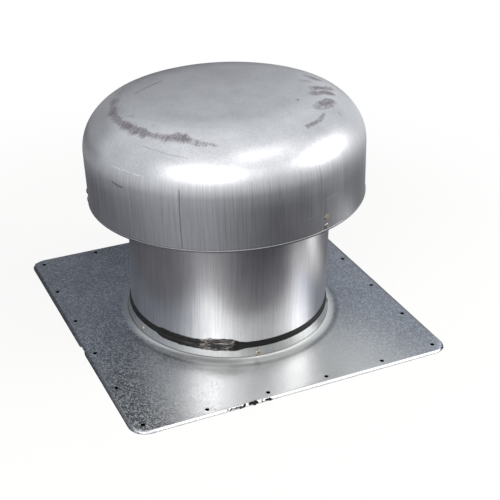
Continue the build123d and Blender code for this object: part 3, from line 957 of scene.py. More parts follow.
@dataclass
class Flashing(SubAssembly):
    """Square flashing with a bent margin, 20 screw holes and a drawn neck.

    Attributes:
        width: Flat deck between the bend lines.
        corner_radius: At the bend lines.
        fold: Section of the bend, as ways out and down from where it begins.
        fold_inset: From there to the bend line.
        margin_width: Along the slope.
        margin_angle: Slope of the margin, degrees below the deck.
        hole_radius: Of the screw holes.
        row_inset: Bend line to the rows of holes.
        corner_inset: Bend lines to the corner holes.
        pitch: Between holes of a row.
        neck_inner: Inside radius of the neck.
        neck_height: Above the deck.
        flare_reach: Neck wall to the foot of the flare's slope.
        flare_angle: Slope of the flare, degrees.
        foot_bend: Radius of the bend at the flare's foot.
        neck_bend: Radius of the bend under the neck.
        blend_margin: Flat ring round the flare's foot.
        nick: Where the left edge is nicked, as two places along it.
        nick_depths: How deep, at even steps between them.
        nick_clear: How far the cuts for it stay outside the bend line.
    """

    width: float = 494.0
    corner_radius: float = 21.0
    fold: tuple[Point, ...] = ((0.0, 0.0), (0.35, 0.027), (0.75, 0.132), (1.15, 0.318), (1.6, 0.474))
    fold_inset: float = 0.8
    margin_width: float = 5.5
    margin_angle: float = 30.0
    hole_radius: float = 3.2
    row_inset: float = 9.6
    corner_inset: float = 14.6
    pitch: float = 93.6
    neck_inner: float = 152.6
    neck_height: float = 18.0
    flare_reach: float = 7.6
    flare_angle: float = 45.0
    foot_bend: float = 20.0
    neck_bend: float = 5.0
    blend_margin: float = 4.0
    nick: Point = (-43.0, -18.0)
    nick_depths: tuple[float, ...] = (0.0, 0.9, 2.2, 1.6, 2.4, 0.0)
    nick_clear: float = 1.5

    def hole_places(self) -> list[Point]:
        """Returns the centres of the 20 screw holes."""
        row = self.width / 2 - self.row_inset
        corner = self.width / 2 - self.corner_inset
        along = [step * self.pitch for step in (-1.5, -0.5, 0.5, 1.5)]
        places = [(x, y) for x in (-corner, corner) for y in (-corner, corner)]
        for side in (-row, row):
            places += [(x, side) for x in along] + [(side, y) for y in along]
        return places

    def neck_line(self) -> list[Point]:
        """Returns the outer face of the flare and neck, from the deck up, as radius and height."""
        outer = self.neck_inner + SHEET
        foot = outer + self.flare_reach
        rise = self.flare_reach * math.tan(math.radians(self.flare_angle))
        tangent = self.foot_bend * math.tan(math.radians(self.flare_angle / 2))
        corners = [
            (foot + tangent + self.blend_margin, DECK_TOP), (foot, DECK_TOP),
            (outer, DECK_TOP + rise), (outer, DECK_TOP + self.neck_height),
        ]
        return round_corners(corners, (self.foot_bend, self.neck_bend), 8)

    def nick_edge(self, mesh: bmesh.types.BMesh) -> None:
        """Cuts a small nick from handling into the margin's left edge.

        Args:
            mesh: The bmesh, with only the margin's faces in it.
        """
        low, high = self.nick
        steps = len(self.nick_depths) - 1
        inside = -self.width / 2 - self.nick_clear
        for step in range(steps + 1):
            faces = [face for face in mesh.faces if face.calc_center_median().x < inside]
            near_edge = list({item for face in faces for item in (*face.verts, *face.edges)}) + faces
            level = low + (high - low) * step / steps
            bmesh.ops.bisect_plane(mesh, geom=near_edge, plane_co=(0, level, 0), plane_no=(0, 1, 0))
        edge = min(vert.co.x for vert in mesh.verts)
        slack = 0.01
        slope = math.tan(math.radians(self.margin_angle))
        for vert in mesh.verts:
            if vert.co.x < edge + slack and low - slack < vert.co.y < high + slack:
                depth = self.nick_depths[round((vert.co.y - low) / (high - low) * steps)]
                vert.co += Vector((depth, 0, depth * slope))

    def draw_neck(
        self, mesh: bmesh.types.BMesh, ring: list[bmesh.types.BMEdge], line: Sequence[Point]
    ) -> None:
        """Raises the flare and the neck from a ring of the deck.

        Args:
            mesh: The bmesh.
            ring: The edges of the ring.
            line: Radii and heights of the rings above it.
        """
        for radius, height in line:
            grown = bmesh.ops.extrude_edge_only(mesh, edges=ring)["geom"]
            verts = [item for item in grown if isinstance(item, bmesh.types.BMVert)]
            ring = [item for item in grown if isinstance(item, bmesh.types.BMEdge)]
            growth = radius / verts[0].co.xy.length
            bmesh.ops.scale(mesh, vec=(growth, growth, 1), verts=verts)
            bmesh.ops.translate(mesh, vec=(0, 0, height - verts[0].co.z), verts=verts)

    def build(self, finishes: Finishes) -> list[bpy.types.Object]:
        """Builds the flashing."""
        slope = math.radians(self.margin_angle)
        out_down = [(out - self.fold_inset, down) for out, down in self.fold]
        out_down.append((self.margin_width * math.cos(slope), self.margin_width * math.sin(slope)))
        mesh = bmesh.new()
        rings = [
            add_rounded_square(mesh, self.width / 2 + out, self.corner_radius + out, DECK_TOP - down)
            for out, down in out_down
        ]
        for first, second in zip(rings, rings[1:]):
            bmesh.ops.bridge_loops(mesh, edges=first + second)
        self.nick_edge(mesh)
        margin = set(mesh.faces)
        outlines = list(rings[0])
        for x, y in self.hole_places():
            outlines += add_circle(mesh, x, y, self.hole_radius, 20)
        foot, *line = self.neck_line()
        ring = add_circle(mesh, 0, 0, foot[0], ROUND_STEPS)
        bmesh.ops.triangle_fill(mesh, use_beauty=True, use_dissolve=False, edges=outlines + ring)
        self.draw_neck(mesh, ring, line)
        bmesh.ops.recalc_face_normals(mesh, faces=mesh.faces)
        deck = {
            face for face in mesh.faces
            if face not in margin and all(abs(vert.co.z - DECK_TOP) < 0.001 for vert in face.verts)
        }
        if next(iter(deck)).normal.z < 0:
            bmesh.ops.reverse_faces(mesh, faces=mesh.faces)
        for face in mesh.faces:
            face.smooth = face not in deck
        piece = finish_mesh(mesh, "flashing", IN_METRES, smooth=None)
        thick = piece.modifiers.new("sheet", "SOLIDIFY")
        thick.thickness = SHEET * METRE
        thick.offset = -1.0
        thick.use_even_offset = True
        return [dress(piece, finishes.flashing, "spangled_steel", "base_flashing")]


@dataclass
class Throat(SubAssembly):
    """Pipe with a lock seam inside its back.

    Attributes:
        foot: Level of its lower edge.
        seam_width: Of the lock seam.
        seam_depth: How far it stands in.
        seam_foot: Its lower end above the pipe's.
        seam_top: Its upper end above the deck.
        seam_bend: Size of the bevels along its ends.
        seam_sunk: How far it reaches into the pipe's wall.
        levels: Number of even parts of the pipe's height.
    """

    foot: float = DECK_TOP - SHEET
    seam_width: float = 11.0
    seam_depth: float = 1.6
    seam_foot: float = 0.4
    seam_top: float = 276.0
    seam_bend: float = 0.5
    seam_sunk: float = 0.3
    levels: int = 12

    def build(self, finishes: Finishes) -> list[bpy.types.Object]:
        """Builds the pipe and the ridge of its seam."""
        top = DECK_TOP + PIPE_HEIGHT
        outer, inner = PIPE_RADIUS, PIPE_RADIUS - SHEET
        section = [(outer - CUT_EDGE, self.foot), (outer, self.foot + CUT_EDGE)]
        part = (top - self.foot) / self.levels
        section += [(outer, self.foot + part * step) for step in range(1, self.levels)]
        section += [
            (outer, top - CUT_EDGE), (outer - CUT_EDGE, top),
            (inner + CUT_EDGE, top), (inner, top - CUT_EDGE),
            (inner, self.foot + CUT_EDGE), (inner + CUT_EDGE, self.foot),
        ]
        pipe = finish_mesh(spin_section(section), "throat", PIPE_FRAME.matrix(), sharp=30.0)
        half_angle = math.degrees(self.seam_width / 2 / inner)
        low, high = self.foot + self.seam_foot, DECK_TOP + self.seam_top
        sunk, proud = inner + self.seam_sunk, inner - self.seam_depth
        ridge = [
            (sunk, low), (sunk, high), (proud + self.seam_bend, high), (proud, high - self.seam_bend),
            (proud, low + self.seam_bend), (proud + self.seam_bend, low),
        ]
        mesh = spin_section(ridge, 6, 180 - half_angle, 2 * half_angle)
        bmesh.ops.holes_fill(mesh, edges=mesh.edges, sides=0)
        bmesh.ops.recalc_face_normals(mesh, faces=mesh.faces)
        seam = finish_mesh(mesh, "throat_seam", PIPE_FRAME.matrix(), smooth=False)
        return [
            dress(pipe, finishes.pipe, "pipe_steel", "throat_pipe"),
            dress(seam, finishes.pipe, "pipe_steel"),
        ]


@dataclass
class Collar(SubAssembly):
    """Flared band round the pipe's foot and the black sealant on its top edge.

    Attributes:
        top_inner: Inside radius of the band at its top.
        top: Its top edge above the deck.
        foot: Its lower edge above the deck.
        flare: How far the foot stands out beyond the top.
        bead_top: Top of the plain bead above the deck.
        bead_foot: Foot of the plain bead above the deck.
        bead_depth: How far the bead stands out from the pipe at its crest.
        smeared: Azimuths between which the wide smear begins, and between which it ends.
        folded: Azimuths between which its folds begin and end, likewise.
        pulled_up: Azimuths between which its lifted edge begins and ends, likewise.
        smear_top: Top of the smear above the deck.
        smear_foot: Foot of the smear above the deck.
        smear_depth: How far it stands out at its crest.
        smear_lift: How much higher its edge is where it was pulled up.
        bead_parts: Number of even parts of the sealant's height.
        bead_steps: Number of steps round it.
    """

    top_inner: float = 153.5
    top: float = 20.0
    foot: float = 4.6
    flare: float = 3.0
    bead_top: float = 27.0
    bead_foot: float = 18.0
    bead_depth: float = 3.3
    smeared: tuple[Point, Point] = ((-69.0, -64.0), (-21.0, -14.0))
    folded: tuple[Point, Point] = ((-58.0, -46.0), (-20.0, -16.0))
    pulled_up: tuple[Point, Point] = ((-40.0, -34.0), (-23.0, -18.0))
    smear_top: float = 29.2
    smear_foot: float = 14.6
    smear_depth: float = 4.6
    smear_lift: float = 4.0
    bead_parts: int = 16
    bead_steps: int = 720

    def band_outer(self, height: float) -> float:
        """Returns the band's outside radius at a height above the deck."""
        share = (self.top - height) / (self.top - self.foot)
        return self.top_inner + SHEET + self.flare * share

    def build(self, finishes: Finishes) -> list[bpy.types.Object]:
        """Builds the band and the sealant."""
        low, high = DECK_TOP + self.foot, DECK_TOP + self.top
        outer_low, outer_high = self.band_outer(self.foot), self.band_outer(self.top)
        section = [
            (outer_low - SHEET, low), (outer_low - CUT_EDGE, low), (outer_low, low + CUT_EDGE),
            (outer_high, high - CUT_EDGE), (outer_high - CUT_EDGE, high), (self.top_inner, high),
        ]
        band = finish_mesh(spin_section(section), "collar_ring", PIPE_FRAME.matrix(), sharp=30.0)
        dress(band, finishes.band, "spangled_steel", "collar_band")
        return [band, self.build_sealant(finishes)]

    def build_sealant(self, finishes: Finishes) -> bpy.types.Object:
        """Builds the sealant: an even bead, wider and wrinkled where it was smeared."""
        inner, outer = PIPE_RADIUS + 0.05, PIPE_RADIUS + 1.05
        section = [(outer, part / self.bead_parts) for part in range(self.bead_parts + 1)]
        section += [(inner, 1.0), (inner, 0.5), (inner, 0.0)]
        mesh = spin_section(section, self.bead_steps)
        for vert in mesh.verts:
            azimuth = math.degrees(math.atan2(vert.co.y, vert.co.x))
            drawn_at = vert.co.xy.length
            radius, height = self.sealant_point(azimuth, vert.co.z, drawn_at > (inner + outer) / 2)
            vert.co = Vector((*(vert.co.xy * radius / drawn_at), DECK_TOP + height))
        bmesh.ops.recalc_face_normals(mesh, faces=mesh.faces)
        piece = finish_mesh(mesh, "sealant", PIPE_FRAME.matrix())
        return dress(piece, finishes.sealant, "black_sealant", "sealant_bead")

    def sealant_point(self, azimuth: float, share: float, outside: bool) -> tuple[float, float]:
        """Works out where a point of the sealant's surface lies.

        Args:
            azimuth: In degrees.
            share: Place up the section, 0 at its foot and 1 at its top.
            outside: Whether it is on the outer face.

        Returns:
            Radius and height above the deck.
        """
        def waver(rate: float, row: float, rise: float = 0.0, layer: float = 0.0) -> float:
            """Returns noise that changes with the azimuth at a rate, on a row and layer of its own."""
            return noise.noise(Vector((azimuth * rate, row + azimuth * rise, layer)))

        def within(span: tuple[Point, Point]) -> float:
            """Returns how far the azimuth lies within a stretch, from 0 to 1."""
            begins, ends = span
            return smooth_step(*begins, azimuth) * (1 - smooth_step(*ends, azimuth))

        spread, folds = within(self.smeared), within(self.folded)
        lifted = within(self.pulled_up) * self.smear_lift
        ragged = 0.9 * waver(0.35, 3.1) + 0.5 * waver(1.1, 9.0)
        top = self.bead_top + spread * (self.smear_top - self.bead_top) + lifted + (0.25 + spread) * ragged
        foot = self.bead_foot + spread * (self.smear_foot - self.bead_foot)
        foot += (0.25 + 0.9 * spread) * waver(0.3, 17.0)
        height = foot + (top - foot) * share
        back = self.band_outer(height) if height < self.top else PIPE_RADIUS
        if not outside:
            return back + 0.05, height
        blend = smooth_step(self.top - 1.5, self.top + 3.5, height)
        carrier = self.band_outer(min(height, self.top)) * (1 - blend) + PIPE_RADIUS * blend
        depth = self.bead_depth + spread * (self.smear_depth - self.bead_depth)
        lump = math.sin(math.pi * min(max(share, 0.02), 0.98)) ** 0.6
        wrinkle = waver(0.1, height * 0.55, 0.05, 5.0) + 0.5 * waver(0.3, height * 1.1, layer=1.0)
        stand = depth * 0.42 * lump + folds * 1.5 * wrinkle * lump
        return max(carrier + stand, back) + 0.15, height


@dataclass
class Crumbs(SubAssembly):
    """Dry crumbs of sealant stuck to the front margin.

    Attributes:
        runs: For each run of crumbs its first and last place along the margin, number and size.
        reach: How far down the margin they lie.
        spread: Least and most of their sizes, as shares of their run's size.
        long: Least and most of their lengths, as shares of their width.
        flat: Least and most of their heights, as shares of their width.
        sits: Height of their middle over the margin, as a share of their run's size.
        knobs: How knobbly they are.
        seed: For their places.
    """

    runs: tuple[tuple[float, float, int, float], ...] = (
        (-115.0, -96.0, 12, 1.1),
        (-97.0, -88.0, 8, 1.3),
        (-82.0, -70.0, 20, 2.0),
        (-63.0, -61.0, 3, 1.1),
        (-56.0, -48.0, 9, 1.5),
    )
    reach: Point = (1.6, 4.8)
    spread: Point = (0.6, 1.3)
    long: Point = (1.0, 1.7)
    flat: Point = (0.5, 0.8)
    sits: float = 0.3
    knobs: float = 0.35
    seed: int = 7

    def build(self, finishes: Finishes) -> list[bpy.types.Object]:
        """Builds the crumbs as flattened, knobbly lumps."""
        chance = random.Random(self.seed)
        slope = math.radians(Flashing.margin_angle)
        mesh = bmesh.new()
        for first, last, count, size in self.runs:
            for step in range(count):
                along = first + (last - first) * (step + chance.uniform(0.1, 0.9)) / count
                out = chance.uniform(*self.reach)
                spot = Vector((
                    along, -Flashing.width / 2 - out * math.cos(slope),
                    DECK_TOP - out * math.sin(slope) + size * self.sits,
                ))
                radius = size * chance.uniform(*self.spread)
                lump = bmesh.ops.create_icosphere(mesh, subdivisions=2, radius=radius)
                turn = Matrix.Rotation(chance.uniform(0, math.tau), 3, "Z")
                stretch = Vector((chance.uniform(*self.long), 1.0, chance.uniform(*self.flat)))
                for vert in lump["verts"]:
                    bumpy = 1 + self.knobs * noise.noise(vert.co * 1.1 + spot)
                    vert.co = turn @ (vert.co * stretch * bumpy) + spot
        piece = finish_mesh(mesh, "sealant_crumbs", IN_METRES)
        return [dress(piece, finishes.crumbs, "black_sealant")]


@dataclass
class Cap(SubAssembly):
    """Deep-drawn dome with a straight skirt and a small lip at its rim.

    Attributes:
        sheet: Thickness.
        radius: Outside, at the top of the skirt.
        skirt_height: Straight part.
        draw_in: Radius lost from skirt top to rim.
        shoulder_width: Across.
        shoulder_height: Up.
        crown_rise: Of the top's middle over its edge.
        blend_width: Half the width over which shoulder and crown run into each other.
        blend_near: Distance from their border up to which they do so fully, and where it ends.
        lip_stand: How far the lip stands proud.
        lip_height: Of its vertical face.
        lip_chamfer: At its corners.
    """

    sheet: float = 1.0
    radius: float = 207.1
    skirt_height: float = 78.7
    draw_in: float = 0.7
    shoulder_width: float = 86.5
    shoulder_height: float = 72.5
    crown_rise: float = 2.35
    blend_width: float = 24.0
    blend_near: Point = (28.0, 60.0)
    lip_stand: float = 0.9
    lip_height: float = 1.6
    lip_chamfer: float = 0.5

    @property
    def flat(self) -> float:
        """Radius of the crown inside the shoulder."""
        return self.radius - self.shoulder_width

    @property
    def top(self) -> float:
        """Height of the shoulder's upper end."""
        return self.skirt_height + self.shoulder_height

    def profile(self) -> list[Point]:
        """Returns the cap's outer face from the rim up to the middle, as radius and height."""
        rim = self.radius - self.draw_in
        lip_top = self.lip_chamfer + self.lip_height
        points = [
            (rim + self.lip_stand - self.lip_chamfer, 0.0), (rim + self.lip_stand, self.lip_chamfer),
            (rim + self.lip_stand, lip_top), (rim + 0.05, lip_top + self.lip_stand),
        ]
        first = lip_top + self.lip_stand + 1.5
        steps, turns, rings = 26, 44, 30
        for step in range(steps + 1):
            level = first + (self.skirt_height - first) * step / steps
            points.append((rim + self.draw_in * level / self.skirt_height, level))
        turned = (math.cos(math.pi / 2 * step / turns) for step in range(1, turns + 1))
        radii = [self.flat + self.shoulder_width * share for share in turned]
        radii += [self.flat * (1 - step / rings) for step in range(1, rings + 1)]
        points += [(radius, min(self.soft_height(radius), self.top + self.crown_rise)) for radius in radii]
        return points

    def soft_height(self, radius: float) -> float:
        """Returns the outer face's height at a radius, with no break between shoulder and crown."""
        reach = self.blend_width * (1 - smooth_step(*self.blend_near, abs(radius - self.flat)))
        shifts = (-1.0, -0.67, -0.33, 0.0, 0.33, 0.67, 1.0)
        return sum(self.sharp_height(radius + shift * reach) for shift in shifts) / len(shifts)

    def sharp_height(self, radius: float) -> float:
        """Returns the height at a radius of the shoulder's ellipse or of the crown."""
        if radius < self.flat:
            return self.top + self.crown_rise * (1 - (radius / self.flat) ** 2) ** 1.5
        share = min((radius - self.flat) / self.shoulder_width, 1.0)
        return self.skirt_height + self.shoulder_height * math.sqrt(1 - share * share)

    def inner_profile(self) -> list[Point]:
        """Returns the cap's inner face from the middle down to the rim, as radius and height."""
        top = self.top - self.sheet
        points = [(0.0, top), (self.flat / 2, top)]
        turns = 20
        for step in range(turns, -1, -1):
            angle = math.pi / 2 * step / turns
            points.append((
                self.flat + (self.shoulder_width - self.sheet) * math.cos(angle),
                self.skirt_height + (self.shoulder_height - self.sheet) * math.sin(angle),
            ))
        points.append((self.radius - self.draw_in - self.sheet, 0.0))
        return points

    def build(self, finishes: Finishes) -> list[bpy.types.Object]:
        """Builds the cap."""
        mesh = spin_section(self.profile() + self.inner_profile(), 480)
        piece = finish_mesh(mesh, "cap", CAP_FRAME.matrix(), sharp=28.0)
        return [dress(piece, finishes.cap, "drawn_cap_steel", "vent_cap")]


@dataclass
class Rivets(SubAssembly):
    """Blind rivets, each set where its CAD node lies.

    Attributes:
        nodes: Names of the rivets' CAD nodes.
        head_radius: Of the dome.
        head_height: Of the dome.
        head_edge: Height of the dome's upright edge.
        shank_radius: Of the shank.
        tail_radius: Of the bulb.
        tail_length: Of the bulb.
        tail_slope: Length over which the shank widens into the bulb.
        tail_full: Share of the bulb's length where its full width ends.
        dimple: Of the drawn mandrel in the dome, as radii and depths under its top.
        dome_steps: Number of steps from the dome's edge to its top.
        rusty: Nodes of the rivets that have rusted most.
        bright: Nodes of those that kept most of their plating.
    """

    nodes: tuple[str, ...]
    head_radius: float = 4.0
    head_height: float = 1.6
    head_edge: float = 0.25
    shank_radius: float = 2.0
    tail_radius: float = 2.9
    tail_length: float = 3.0
    tail_slope: float = 0.3
    tail_full: float = 0.6
    dimple: tuple[Point, ...] = ((0.0, 0.5), (0.7, 0.45), (1.0, 0.05))
    dome_steps: int = 6
    rusty: tuple[str, ...] = ("cap_rivet_1_upper", "collar_rivet_1", "collar_rivet_5")
    bright: tuple[str, ...] = ("cap_rivet_1_lower",)

    def section(self, grip: float) -> list[Point]:
        """Returns a rivet's section for a grip, as radius and height over its seat."""
        head, tail = self.head_height, self.tail_length
        dimple = [(radius, head - depth) for radius, depth in self.dimple]
        rises = [math.pi / 2 * step / self.dome_steps for step in range(self.dome_steps - 1, -1, -1)]
        dome = [
            (self.head_radius * math.cos(angle), self.head_edge + (head - self.head_edge) * math.sin(angle))
            for angle in rises
        ]
        return dimple + dome + [
            (self.head_radius, 0.0), (self.shank_radius, 0.0), (self.shank_radius, -grip),
            (self.tail_radius, -grip - self.tail_slope), (self.tail_radius, -grip - tail * self.tail_full),
            (self.shank_radius, -grip - tail), (0.0, -grip - tail),
        ]

    def seat(self, node: str, frame: Frame, tilt: float) -> tuple[Vector, Vector, float]:
        """Reads a rivet's seat from its CAD node.

        Args:
            node: The node.
            frame: The frame whose axis the rivet points away from.
            tilt: How far it is turned up, in degrees.

        Returns:
            The middle of the head's underside in millimetres, the outward direction and the grip.
        """
        low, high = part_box(node)
        offset = (low + high) / 2 / METRE - frame.origin
        flat = (offset - frame.axis * offset.dot(frame.axis)).normalized()
        outwards = flat * math.cos(math.radians(tilt)) + frame.axis * math.sin(math.radians(tilt))
        side = outwards.cross(frame.axis).normalized()
        points = [vert.co / METRE for vert in bpy.data.objects[node].data.vertices]
        spans = [point.dot(outwards) for point in points]
        seat = outwards * (max(spans) - self.head_height)
        for way in (side, side.cross(outwards).normalized()):
            across = [point.dot(way) for point in points]
            seat += way * ((min(across) + max(across)) / 2)
        return seat, outwards, max(spans) - min(spans) - self.head_height - self.tail_length

    def build(self, finishes: Finishes) -> list[bpy.types.Object]:
        """Builds every rivet."""
        made = []
        band_slope = math.degrees(math.atan2(Collar.flare, Collar.top - Collar.foot))
        groups = {
            "cap_rivet": (CAP_FRAME, 0.0), "pipe_rivet": (PIPE_FRAME, 0.0),
            "collar_rivet": (PIPE_FRAME, band_slope), "screen_rivet": (PIPE_FRAME, 0.0),
        }
        finish = dict.fromkeys(self.rusty, finishes.rusty) | dict.fromkeys(self.bright, finishes.plated)
        for node in sorted(self.nodes):
            seat, outwards, grip = self.seat(node, *groups[node.partition("rivet")[0] + "rivet"])
            mesh = spin_section(self.section(grip), 28, closed=False)
            turn = outwards.to_track_quat("Z", "Y").to_matrix().to_4x4()
            matrix = IN_METRES @ Matrix.Translation(seat) @ turn
            piece = finish_mesh(mesh, f"{node}_set", matrix, sharp=40.0)
            made.append(dress(piece, finish.get(node, finishes.dull), "rivet_steel", node))
        return made


@dataclass
class BirdScreen(SubAssembly):
    """Welded wire grid in its hoop, over the ring at the pipe's top.

    Attributes:
        wire: Thickness of the hoop's wire.
        thinner: Thickness of the grid's wires as a share of it.
        pitch: Between wires.
        hoop_outer: Outside radius of the hoop.
        hoop_width: Of the hoop.
        foot: Level of its underside.
    """

    wire: float = 1.6
    thinner: float = 0.9
    pitch: float = 28.0
    hoop_outer: float = 150.5
    hoop_width: float = 3.0
    foot: float = DECK_TOP + PIPE_HEIGHT - 12.9

    def build(self, finishes: Finishes) -> list[bpy.types.Object]:
        """Builds the screen from its hoop and round wires in two layers."""
        reach = self.hoop_outer - self.hoop_width / 2
        radius = self.wire / 2
        hoop = [
            (reach + self.hoop_width / 2 * math.cos(angle), self.foot + radius * (1 + math.sin(angle)))
            for angle in (math.tau * step / 10 for step in range(10))
        ]
        mesh = spin_section(hoop, 120)
        thin = radius * self.thinner
        count = int((self.hoop_outer - self.hoop_width) / self.pitch)
        for turn, level in enumerate((self.foot + thin, self.foot + self.wire - thin)):
            layer = Matrix.Translation((0, 0, level)) @ Matrix.Rotation(math.pi / 2 * turn, 4, "Z")
            for step in range(-count, count + 1):
                across = step * self.pitch
                lay = Matrix.Translation((across, 0, 0)) @ Matrix.Rotation(math.pi / 2, 4, "X")
                bmesh.ops.create_cone(
                    mesh, cap_ends=True, segments=8, radius1=thin, radius2=thin,
                    depth=2 * math.sqrt(reach ** 2 - across ** 2), matrix=layer @ lay,
                )
        piece = finish_mesh(mesh, "welded_screen", IN_METRES)
        return [dress(piece, finishes.plain, "screen_wire", "bird_screen")]


@dataclass
class Lamp:
    """A softbox aimed at the vent.

    Attributes:
        side: Which lamp it is.
        azimuth: Direction it hangs in, degrees from the front.
        elevation: Degrees above the floor.
        distance_m: From the vent's middle.
        width_m: Across.
        height_m: Up.
        radiance: Brightness of its face, where 1 is white.
    """

    side: Side
    azimuth: float
    elevation: float
    distance_m: float
    width_m: float
    height_m: float
    radiance: float

    def build(self) -> None:
        """Hangs the lamp."""
        data = bpy.data.lights.new(f"{self.side.value}_softbox", "AREA")
        data.shape = "RECTANGLE"
        data.size = self.width_m
        data.size_y = self.height_m
        data.energy = self.radiance * math.pi * self.width_m * self.height_m
        data.color = hex_colour("FFFAF4")[:3]
        lamp = bpy.data.objects.new(data.name, data)
        away = direction(self.azimuth, self.elevation)
        lamp.location = AIM_M + away * self.distance_m
        lamp.rotation_euler = away.to_track_quat("Z", "Y").to_euler()
        bpy.context.scene.collection.objects.link(lamp)


def add_plane(
    name: str, size_m: Point, place: Matrix, material: bpy.types.Material, mirrored_only: bool = True
) -> None:
    """Adds a flat object to the scene.

    Args:
        name: Its name.
        size_m: Its width and height.
        place: From its own plane to the row's metres.
        material: Its material.
        mirrored_only: Whether only glossy rays meet it, so that it shows in the metal alone.
    """
    mesh = bmesh.new()
    bmesh.ops.create_grid(mesh, x_segments=1, y_segments=1, size=0.5)
    bmesh.ops.scale(mesh, vec=(*size_m, 1), verts=mesh.verts)
    plane = finish_mesh(mesh, name, place, smooth=False)
    plane.data.materials.append(material)
    if mirrored_only:
        plane.visible_camera = False
        plane.visible_diffuse = False
        plane.visible_transmission = False
        plane.visible_shadow = False


@dataclass
class Card:
    """A grey or white card that only the metal's reflections show.

    Attributes:
        name: Its name.
        middle_m: Its middle.
        facing: Azimuth that its face looks away from, degrees from the front.
        width_m: Across.
        height_m: Up.
        low: Brightness of its lower edge, where 1 is white.
        high: Brightness of its upper edge.
        even: Share of its width that is even, beyond which it turns white towards its sides.
        tint: Colour of its lower part.
        blend: Shares of its height between which its lower brightness runs into the upper one.
        side_from_m: Heights over its foot between which its sides begin to turn white.
    """

    name: str
    middle_m: tuple[float, float, float]
    facing: float
    width_m: float
    height_m: float
    low: float
    high: float
    even: float
    tint: str = "FFFFFF"
    blend: Point = (0.1, 0.85)
    side_from_m: Point = (0.05, 0.5)

    def build(self) -> None:
        """Stands the card up."""
        shader = Shader.named(self.name)
        across, _, level = shader.value("TexCoord", output="Object").parts()
        foot = self.middle_m[2] - self.height_m / 2
        rise = shader.ramp(level, *(foot + share * self.height_m for share in self.blend))
        half = self.width_m / 2
        aside = 0.0
        if self.even < 1:
            aside = shader.ramp(abs(across - self.middle_m[0]), half * self.even, half)
            aside *= shader.ramp(level, *(foot + height for height in self.side_from_m))
        low = [value * self.low for value in hex_colour(self.tint)[:3]]
        tone = shader.mix(shader.math("MAXIMUM", rise, aside), (*low, 1), (self.high,) * 3 + (1,))
        glow = shader.finish(shader.value("Emission", Color=tone, Strength=1.0))
        turn = Matrix.Rotation(math.radians(self.facing), 4, "Z") @ Matrix.Rotation(math.pi / 2, 4, "X")
        add_plane(self.name, (self.width_m, self.height_m), Matrix.Translation(self.middle_m) @ turn, glow)


@dataclass
class Mat:
    """A satin mat on the floor that only the metal's reflections show, soft at its edge.

    Attributes:
        name: Its name.
        line_m: The line along which it lies, as places on the floor.
        radius_m: How far it reaches from that line.
        even: Share of that reach that is even, beyond which the mat fades out.
        colour: Its colour.
        ior: Its index of refraction, for its sheen.
        gap_m: Where it leaves the floor bare along the flashing's front edge, as distances in front
            of the middle.
        gap_soft_m: Width over which it fades in again in front of that.
        roughness: Of its satin face.
    """

    name: str
    line_m: tuple[Point, ...]
    radius_m: float
    even: float
    colour: tuple[float, float, float]
    ior: float
    gap_m: Point = (0.237, 0.257)
    gap_soft_m: float = 0.004
    roughness: float = 0.34

    def build(self, level_m: float) -> None:
        """Lays the mat at a level over the floor."""
        places = [Vector((*place, 0)) for place in self.line_m]
        shader = Shader.named(self.name)
        plan = shader.vector("MULTIPLY", shader.value("TexCoord", output="Object"), (1, 1, 0))
        share = shader.strokes(plan, places, self.radius_m, self.even)
        forwards = plan.parts()[1] * -1.0
        gap_start, gap_end = self.gap_m
        behind = shader.math("LESS_THAN", forwards, gap_start)
        before = shader.ramp(forwards, gap_end, gap_end + self.gap_soft_m)
        share *= shader.math("MAXIMUM", behind, before)
        satin = shader.value(
            "BsdfPrincipled", Base_Color=(*self.colour, 1), Roughness=self.roughness, IOR=self.ior
        )
        mixed = shader.value("MixShader", i0=share, i1=shader.value("BsdfTransparent"), i2=satin)
        width = 2 * (self.radius_m + max(place.length for place in places))
        add_plane(self.name, (width, width), Matrix.Translation((0, 0, level_m)), shader.finish(mixed))


